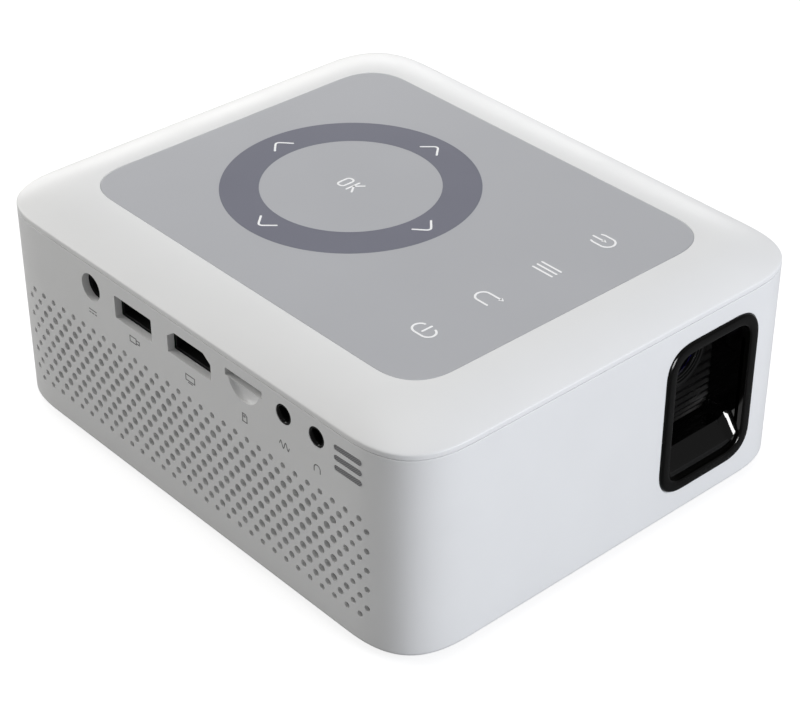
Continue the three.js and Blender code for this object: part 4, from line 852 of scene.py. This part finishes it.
MARK_ROW = -45.7
back_strokes, back_heads = back_mark((-10.9, MARK_ROW))
input_strokes, input_heads = input_mark((27.8, MARK_ROW))
strokes = [chevron(turn) for turn in np.arange(4) * np.pi / 2]
strokes += power_mark((-30.7, MARK_ROW)) + back_strokes + menu_mark((8.5, MARK_ROW)) + input_strokes
letter_o, letter_k = letters_ok(RING_CENTRE)
strokes += letter_k
shapes = [prism(stroke_outline(path, LINE), MARK_LEVELS) for path in strokes]
shapes += [prism(head[::-1], MARK_LEVELS) for head in back_heads + input_heads]
shapes.append(closed_stroke(letter_o, LINE, *MARK_LEVELS))
make_piece("panel_marks", merge(shapes), WHITE_PRINT)

# %% [markdown]
# The lens bezel is a polished black frame that stands a little proud of the front. Its section is a
# closed loop too: out of the wall, round a small outer edge, across a face that falls slightly
# inwards, and round into the opening.

# %% Lens bezel
BEZEL_FACE = BEZEL_LOW[1]
BEZEL_FALL = 0.1  # how far the face falls back towards the opening
EDGE, INNER_EDGE = 0.8, 0.5
inner_round = (BEZEL_FRAME - INNER_EDGE, BEZEL_FACE + BEZEL_FALL + INNER_EDGE)
bezel_section = np.concatenate([
    [[0.0, FRONT + WALL]], arc((EDGE, BEZEL_FACE + EDGE), EDGE, 180, 270, 5),
    arc(inner_round, INNER_EDGE, 270, 360, 5), [[BEZEL_FRAME, FRONT + WALL]],
])
bezel_loops = np.array([place(bezel_loop(inset), y, 1) for inset, y in bezel_section])
make_piece("bezel_frame", skin(bezel_loops, ring=True), BEZEL_BLACK, replaces=["lens_bezel"],
           sharp=50)

# %% [markdown]
# Behind the frame a dark tunnel leads back to the lens. Its floor is a steep ramp that turns level
# after a few millimetres, and the corner between floor and side is a round that catches one long
# highlight. The tunnel is a loft: the same soft rectangle at every depth, with its lower edge
# lifted as the ramp climbs.

# %% Lens hood tunnel
RAMP_RUN, RAMP_RISE = 4.6, 6.5
HOOD_DEPTH = 10.9
HOOD_MOUTH = 1.0  # the tunnel starts this far behind the front, inside the frame
HOOD_WALL = 1.2
FACE_Y = FRONT + HOOD_DEPTH
FILLET = 3.5
open_low = BEZEL_MID[1] - BEZEL_SIZE[1] / 2 + BEZEL_FRAME
open_high = BEZEL_MID[1] + BEZEL_SIZE[1] / 2 - BEZEL_FRAME
open_width = BEZEL_SIZE[0] - 2 * BEZEL_FRAME


def tunnel_loop(depth, grow=0.0, steps=12):
    """Tunnel outline at a depth behind the front, as (x, z). The floor rises along the ramp and is
    level past it."""
    low = open_low + min(RAMP_RISE * depth / RAMP_RUN, RAMP_RISE)
    loop = soft_rect(open_width + 2 * grow, open_high - low + 2 * grow, FILLET, 2.0, steps)
    return loop + (BEZEL_MID[0], (open_high + low) / 2)


depths = np.concatenate([np.linspace(0.0, RAMP_RUN, 6), np.linspace(RAMP_RUN + 0.5, HOOD_DEPTH, 5)])
tunnel_rows = [place(tunnel_loop(d), FRONT + d, 1) for d in depths]
outer_rows = [place(tunnel_loop(0.0, HOOD_WALL), FRONT + d, 1) for d in depths[::-1]]
hood_loops = np.array(tunnel_rows + outer_rows)
hood_loops[0, :, 1] = hood_loops[-1, :, 1] = FRONT + HOOD_MOUTH
make_piece("hood_tunnel", skin(hood_loops, ring=True), HOOD_BLACK, replaces=["lens_hood"],
           sharp=40)

# %% [markdown]
# The rear face of the hood is a plate with a round hole for the lens. Fine horizontal steps across
# it stop stray light, and they show as thin pale lines. The plate is a grid from the hole's edge
# out to the plate's edge, pushed back and forth by the height of each point.

# %% Hood rear face with its steps
BARREL_MID = ((BARREL_LOW + BARREL_HIGH) / 2)[[0, 2]]
BARREL_R = (BARREL_HIGH[0] - BARREL_LOW[0]) / 2
RIB_COUNT, RIB_DEPTH, RIB_CROWDING = 13, 0.45, 0.72
PLATE_LAP = 0.6  # the plate reaches this far past the opening
PLATE_BACK = 1.3  # depth of the plate behind the face


def ribs_face(z):
    """Depth of the rear face at a height: a triangle wave of the height's share to the power
    RIB_CROWDING, which brings the steps closer together lower down."""
    share = (z - (open_low + RAMP_RISE)) / (open_high - open_low - RAMP_RISE)
    return RIB_DEPTH * np.abs(((np.clip(share, 0, 1) ** RIB_CROWDING) * RIB_COUNT) % 1 - 0.5) * 2


def rear_plate():
    """Rectangular plate with a round hole: a fine flat grid, front and back, cut at the hole."""
    low = np.array([BEZEL_MID[0] - open_width / 2 - PLATE_LAP, open_low + RAMP_RISE - PLATE_LAP])
    high = np.array([BEZEL_MID[0] + open_width / 2 + PLATE_LAP, open_high + PLATE_LAP])
    hole = circle(BARREL_R + SEAM_GAP, 72) + BARREL_MID
    x, z = np.meshgrid(np.linspace(low[0], high[0], 24), np.linspace(low[1], high[1], 200))
    grid = np.stack([x.ravel(), z.ravel()], 1)
    grid = grid[mark_inside(grid, [hole], margin=0.1) < 0]
    start, size = len(grid), len(hole)
    hole_edges = [(start + i, start + (i + 1) % size) for i in range(size)]
    flat, faces = triangulate(np.concatenate([grid, hole]), hole_edges)
    faces = orient(faces, flat)
    faces = faces[mark_inside(flat[faces].mean(1), [hole]) < 0]
    count = len(flat)
    front = place(flat, FACE_Y + ribs_face(flat[:, 1]) - 0.1, 1)
    back = place(flat, FACE_Y + PLATE_BACK, 1)
    e = free_edges(faces)
    sides = np.stack([e[:, 1], e[:, 0], e[:, 0] + count, e[:, 1] + count], 1)
    return np.concatenate([front, back]), faces.tolist() + (faces[:, ::-1] + count).tolist() + sides.tolist()


make_piece("hood_rear_face", rear_plate(), HOOD_MATTE, sharp=25)

# %% [markdown]
# The lens sits in a black barrel that slides a little when it is focused. Barrel and retaining ring
# are turned parts, so each is one profile carried round the lens axis, with its front edges eased.
# The glass is a plano-convex disc, and its coating gives the violet glint.

# %% Lens barrel, retaining ring and front glass
LENS_CENTRE = (BARREL_MID[1], BARREL_MID[0])
BARREL_FRONT, BARREL_BACK = BARREL_LOW[1], BARREL_HIGH[1]
GLASS_LOW, GLASS_HIGH = box_mm("front_lens")
GLASS_R = (GLASS_HIGH[0] - GLASS_LOW[0]) / 2
bore = GLASS_R + 0.12


def eased(points, radius, steps=4):
    """Closed section whose corners are cut by short curves of the given reach, where there is room."""
    points = np.asarray(points, float)
    out = []
    for before, corner, after in zip(np.roll(points, 1, 0), points, np.roll(points, -1, 0)):
        room = [0.45 * np.linalg.norm(other - corner) for other in (before, after)]
        out.append(cut_corner(before, corner, after, min(radius, *room), steps))
    return np.concatenate(out)


barrel_profile = [(BARREL_BACK, bore), (BARREL_BACK, BARREL_R), (BARREL_FRONT, BARREL_R),
                  (BARREL_FRONT, bore)]
make_piece("barrel_tube", turned(eased(barrel_profile, 0.4), LENS_CENTRE, 1, 96, ring=True), NYLON_BLACK,
           body="lens_unit", replaces=["lens_barrel"])
RETAINER_FRONT, RETAINER_BACK = BARREL_FRONT + 0.3, BARREL_FRONT + 1.8
retainer = [(RETAINER_BACK, bore - 0.05), (RETAINER_FRONT, bore - 0.05), (RETAINER_FRONT, 7.5),
            (RETAINER_FRONT + 0.5, 7.3), (RETAINER_FRONT + 0.5, 7.1), (RETAINER_FRONT + 0.9, 6.9),
            (RETAINER_BACK, 6.9)]
make_piece("lens_retainer", turned(eased(retainer, 0.12), LENS_CENTRE, 1, 96, ring=True), GLOSS_BLACK,
           body="lens_unit")


def lens_profile(front, back, radius, sag, steps=12):
    """Half section of a plano-convex disc: the front follows a sphere of radius (r^2 + s^2) / 2s."""
    sphere = (radius ** 2 + sag ** 2) / (2 * sag)
    r = np.linspace(radius, POLE, steps)
    curve = np.column_stack([front + sphere - np.sqrt(sphere ** 2 - r ** 2), r])
    return np.concatenate([[(back, POLE), (back, radius)], curve])


GLASS_SAG = 1.3
glass_profile = lens_profile(GLASS_LOW[1], GLASS_HIGH[1], GLASS_R, GLASS_SAG)
make_piece("front_glass", turned(glass_profile, LENS_CENTRE, 1, 96), GLASS, body="lens_unit",
           replaces=["front_lens"])

# %% [markdown]
# The two sound jacks are black sleeves that show as round rings in the wall. Each is a block with a
# turned nose. The nose is a closed cup, so its bore is really dark, and a bright contact ring lines it.

# %% Sound jacks
JACK_FACE = LEFT + 0.08
NOSE_RADIUS, BORE_RADIUS = 2.63, 1.65
BORE_END, NOSE_END = LEFT + 9, LEFT + 10
CONTACT_X = LEFT + 2.4
for node, (y, drop) in JACKS.items():
    low, high = box_mm(node)
    middle, size = (low + high) / 2, high - low
    block_loop = soft_rect(size[1], size[2], 0.6, 2, 4)[::-1] + middle[1:]
    block = prism(block_loop, (high[0], LEFT + WALL + SEAM_GAP), 0)
    cup = [(BORE_END, POLE), (BORE_END, BORE_RADIUS), (JACK_FACE + 0.8, 1.7), (JACK_FACE + 0.12, 2.05),
           (JACK_FACE, 2.15), (JACK_FACE, 2.55), (JACK_FACE + 0.1, NOSE_RADIUS), (NOSE_END, NOSE_RADIUS),
           (NOSE_END, POLE)]
    nose = turned(cup, (y, SEAM_Z - drop), 0, 48)
    spring = [(CONTACT_X, 1.66), (CONTACT_X, 1.35), (CONTACT_X + 0.6, 1.25), (CONTACT_X + 1.2, 1.35),
              (CONTACT_X + 1.2, 1.66)]
    contact = turned(spring, (y, SEAM_Z - drop), 0, 48, ring=True)
    make_piece(node + "_body", merge([block, nose]), BEZEL_BLACK, replaces=[node])
    make_piece(node + "_contact", contact, STEEL)

# %% [markdown]
# The three slots beside the jacks are backed by a grey woven mesh that lets sound out and keeps dust
# from the speaker. The weave is two crossed sets of fine waves that press into the surface.

# %% Mesh behind the sound slots
SPEAKER_MESH = new_material("speaker_mesh", (0.055, 0.055, 0.057), 0.7)
mesh_nodes, mesh_links = SPEAKER_MESH.node_tree.nodes, SPEAKER_MESH.node_tree.links
mesh_where = mesh_nodes.new("ShaderNodeTexCoord")
mesh_turn = mesh_nodes.new("ShaderNodeMapping")
mesh_turn.inputs["Rotation"].default_value = (np.radians(45), 0, 0)
mesh_links.new(mesh_where.outputs["Object"], mesh_turn.inputs["Vector"])
threads = []
for direction in ("Y", "Z"):
    wave = mesh_nodes.new("ShaderNodeTexWave")
    wave.bands_direction = direction
    wave.inputs["Scale"].default_value = 2 * np.pi / (20 * 0.45 * MM)
    mesh_links.new(mesh_turn.outputs["Vector"], wave.inputs["Vector"])
    threads.append(wave)
weave = mesh_nodes.new("ShaderNodeMath")
weave.operation = "MAXIMUM"
mesh_links.new(threads[0].outputs["Fac"], weave.inputs[0])
mesh_links.new(threads[1].outputs["Fac"], weave.inputs[1])
mesh_tone = mesh_nodes.new("ShaderNodeValToRGB")
mesh_tone.color_ramp.elements[0].color = (0.07, 0.07, 0.072, 1)
mesh_tone.color_ramp.elements[1].color = (0.30, 0.30, 0.305, 1)
mesh_links.new(weave.outputs["Value"], mesh_tone.inputs["Fac"])
mesh_links.new(mesh_tone.outputs["Color"], mesh_nodes["Principled BSDF"].inputs["Base Color"])
mesh_bump = mesh_nodes.new("ShaderNodeBump")
mesh_bump.inputs["Distance"].default_value = 0.05 * MM
mesh_links.new(weave.outputs["Value"], mesh_bump.inputs["Height"])
mesh_links.new(mesh_bump.outputs["Normal"], mesh_nodes["Principled BSDF"].inputs["Normal"])
MESH_INSET, MESH_FIT = 0.15, 0.02
mesh_loop = stadium(SLOT_SIZE[0] - MESH_FIT, SLOT_SIZE[1] - MESH_FIT)[::-1]
mesh_levels = (LEFT + SLOT_DEPTH + 0.01, LEFT + MESH_INSET)
felts = [prism(mesh_loop + (SLOT_Y, SEAM_Z - drop), mesh_levels, 0) for drop in SLOT_DROPS]
make_piece("slot_mesh", merge(felts), SPEAKER_MESH)

# %% [markdown]
# Under each socket the case carries a small printed sign. They are generic line pictures: a bar over
# dashes for direct current, a plug, a screen, a card, a wave and a headset.

# %% Signs under the sockets
SIGN_Z, SIGN_LINE = SEAM_Z - 13.6, 0.28


def wall_slab(loop, y, z):
    """Thin raised print on the left wall from a loop seen from outside: first axis to the viewer's
    right, which is towards the front."""
    return prism(np.array([y, z]) + loop * (-1, 1), (LEFT + 0.01, LEFT - 0.02), 0)


swing = np.linspace(0, 1, 25)
signs = {
    DC_Y: [[(-1.5, 0.45), (1.5, 0.45)], [(-1.5, -0.45), (-0.8, -0.45)], [(-0.35, -0.45), (0.35, -0.45)],
           [(0.8, -0.45), (1.5, -0.45)]],
    USB_Y: [[(-1.9, 0.8), (0.6, 0.8), (0.6, -0.8), (-1.9, -0.8), (-1.9, 0.8)],
            [(0.6, 0.45), (1.9, 0.45), (1.9, -0.45), (0.6, -0.45)]],
    VIDEO_Y: [[(-1.7, -0.6), (-1.7, 1.0), (1.7, 1.0), (1.7, -0.6), (-1.7, -0.6)],
              [(-0.8, -1.1), (0.8, -1.1)]],
    CARD_Y: [[(-0.8, -1.1), (-0.8, 1.1), (0.3, 1.1), (0.8, 0.6), (0.8, -1.1), (-0.8, -1.1)],
             [(-0.3, 0.7), (-0.3, 0.2)], [(0.1, 0.7), (0.1, 0.2)]],
    JACKS["av_jack"][0]: [np.column_stack([3.4 * swing - 1.7, 0.9 * np.sin(4 * np.pi * swing)])],
    JACKS["headphone_jack"][0]: [arc((0, -0.1), 1.05, 180, 0, 14), [(-1.05, -0.2), (-1.05, -0.95)],
                                 [(1.05, -0.2), (1.05, -0.95)]],
}
sign_slabs = []
for y, paths in signs.items():
    sign_slabs += [wall_slab(stroke_outline(path, SIGN_LINE, 5), y, SIGN_Z) for path in paths]
make_piece("socket_signs", merge(sign_slabs), GREY_PRINT)

# %% [markdown]
# Four rubber feet are pressed into the base. Each is a turned button with a rounded rim, a shallow
# hollow in the middle of its sole and a fine groove round it.

# %% Rubber feet
for i in range(1, 5):
    low, high = box_mm("rubber_foot_%d" % i)
    r = (high[0] - low[0]) / 2
    hollow = [(0.25, POLE), (0.25, 1.6), (0.0, 1.8)]
    groove = [(0.0, 2.9), (0.3, 3.1), (0.3, 3.4), (0.0, 3.6)]
    rim_round = [(0.0, r - 0.8), (0.12, r - 0.35), (0.45, r - 0.08), (0.9, r)]
    sole = hollow + groove + rim_round + [(high[2], r), (high[2], POLE)]
    centre = ((low[0] + high[0]) / 2, (low[1] + high[1]) / 2)
    make_piece("foot_%d" % i, turned(sole[::-1], centre, 2, 48), RUBBER,
               replaces=["rubber_foot_%d" % i], sharp=50)

# %% [markdown]
# The solids that stay as they are get their finishes by name: inner parts in the metal, board or
# moulded plastic of the real thing. The card socket's very dark steel is painted shade for the slot in front
# of it.

# %% Dress the frame's own solids
DRESS = {
    "base_plate": CASE, "touch_board": SOLDER_MASK, "main_board": SOLDER_MASK, "power_board": SOLDER_MASK,
    "imager_board": SOLDER_MASK, "touch_ribbon": FILM_AMBER, "tripod_insert": BRASS, "focus_axle": STEEL,
    "focus_ring": NYLON_BLACK, "focus_wheel": NYLON_BLACK, "focus_bracket": NYLON_BLACK, "rear_lens": GLASS,
    "condenser_lens": GLASS, "prism": GLASS, "light_engine": NYLON_BLACK, "engine_cover": ALUMINIUM,
    "imager_chip": DARK_STEEL_SLOT_SHADE, "led_module": SOLDER_MASK, "heat_pipe": COPPER, "heat_sink": ALUMINIUM,
    "fan_frame": NYLON_BLACK, "fan_rotor": NYLON_BLACK, "speaker_basket": STEEL, "speaker_cone": PAPER_CONE,
    # the card socket's dark steel is painted shade for the slot in front of it
    "dc_jack": NYLON_BLACK, "usb_port": NYLON_BLACK, "video_port": NYLON_BLACK, "card_socket": DARK_STEEL_SLOT_SHADE,
}
DRESS.update({"base_screw_%d" % i: STEEL for i in range(1, 5)})
for node, material in DRESS.items():
    bpy.data.objects[node].data.materials[0] = material
print(len(DRESS), "frame solids dressed")

# %% [markdown]
# A plain white floor and soft light finish the set. The key is a large panel in front of the case. Three
# more lift the cover, the back and the far edges, and the left wall gets the least, which makes it the
# darkest side. The hood is left out of all four, and a small strip that only hood and bezel see puts
# one bright reflection on the round of its floor.

# %% Floor, sky and lights
bpy.ops.mesh.primitive_plane_add(size=6.0, location=(0, 0, -0.0005))
floor = bpy.context.object
floor.name = "floor"
FLOOR_PAINT = new_material("floor_paint", (0.35, 0.35, 0.35), 0.9)
paint_nodes, paint_links = FLOOR_PAINT.node_tree.nodes, FLOOR_PAINT.node_tree.links
paint_nodes["Principled BSDF"].inputs["Emission Color"].default_value = (1, 1, 1, 1)
seen = paint_nodes.new("ShaderNodeLightPath")
glow = paint_nodes.new("ShaderNodeMath")
glow.operation = "MULTIPLY"
glow.inputs[1].default_value = 0.8
paint_links.new(seen.outputs["Is Camera Ray"], glow.inputs[0])
paint_links.new(glow.outputs["Value"], paint_nodes["Principled BSDF"].inputs["Emission Strength"])
add_grain(FLOOR_PAINT, 2.0, 0.01)
floor.data.materials.append(FLOOR_PAINT)

sky = bpy.data.worlds.new("studio")
sky.use_nodes = True
sky.node_tree.nodes["Background"].inputs["Color"].default_value = (1, 1, 1, 1)
sky_seen = sky.node_tree.nodes.new("ShaderNodeLightPath")
sky_range = sky.node_tree.nodes.new("ShaderNodeMapRange")
sky_range.inputs["To Min"].default_value = 0.33
sky_range.inputs["To Max"].default_value = 1.0
sky.node_tree.links.new(sky_seen.outputs["Is Camera Ray"], sky_range.inputs["Value"])
sky.node_tree.links.new(sky_range.outputs["Result"], sky.node_tree.nodes["Background"].inputs["Strength"])
bpy.context.scene.world = sky
bpy.context.scene.view_settings.view_transform = "Standard"


def area_light(name, place, target, size, watts, colour=(1, 1, 1)):
    """Rectangular area light at place (metres), turned towards target, that the camera can't see."""
    data = bpy.data.lights.new(name, "AREA")
    data.shape = "RECTANGLE"
    data.size, data.size_y = size
    data.energy = watts
    data.color = colour
    lamp = bpy.data.objects.new(name, data)
    lamp.location = place
    aim = np.array(target, float) - np.array(place, float)
    lamp.visible_camera = False
    tilt, turn = np.arctan2(np.hypot(aim[0], aim[1]), -aim[2]), np.arctan2(aim[1], aim[0])
    lamp.rotation_euler = (tilt, 0, turn - np.pi / 2)
    bpy.context.scene.collection.objects.link(lamp)
    return lamp


key = area_light("key", (0.4, -1.25, 0.45), (0, 0, 0.03), (0.8, 0.8), 13.6, (0.93, 0.965, 1.04))
top = area_light("top", (0.1, 0.35, 1.25), (0, 0, 0.05), (0.8, 0.8), 4.0, (1.0, 0.99, 0.965))
back = area_light("back", (-0.5, 0.85, 0.5), (0, 0, 0.05), (0.8, 0.4), 4.35, (1.0, 0.995, 0.98))
rim = area_light("rim", (0.85, 1.25, 0.22), (0, 0, 0.05), (1.6, 0.5), 8.0)
strip = area_light("strip", (-0.36, -0.46, 0.24), (0.033, -0.075, 0.02), (0.33, 0.34), 16.0)
strip.visible_diffuse = False
hood_pieces = [bpy.data.objects[name] for name in ("hood_tunnel", "bezel_frame")]
hood_lit, hood_unlit = bpy.data.collections.new("hood_lit"), bpy.data.collections.new("hood_unlit")
for piece in hood_pieces:
    hood_lit.objects.link(piece)
lens_pieces = [bpy.data.objects[name] for name in ("hood_rear_face", "barrel_tube", "lens_retainer")]
for piece in hood_pieces + lens_pieces:
    hood_unlit.objects.link(piece)
for item in hood_unlit.collection_objects:
    item.light_linking.link_state = "EXCLUDE"
strip.light_linking.receiver_collection = hood_lit
for lamp in (key, top, back, rim):
    lamp.light_linking.receiver_collection = hood_unlit
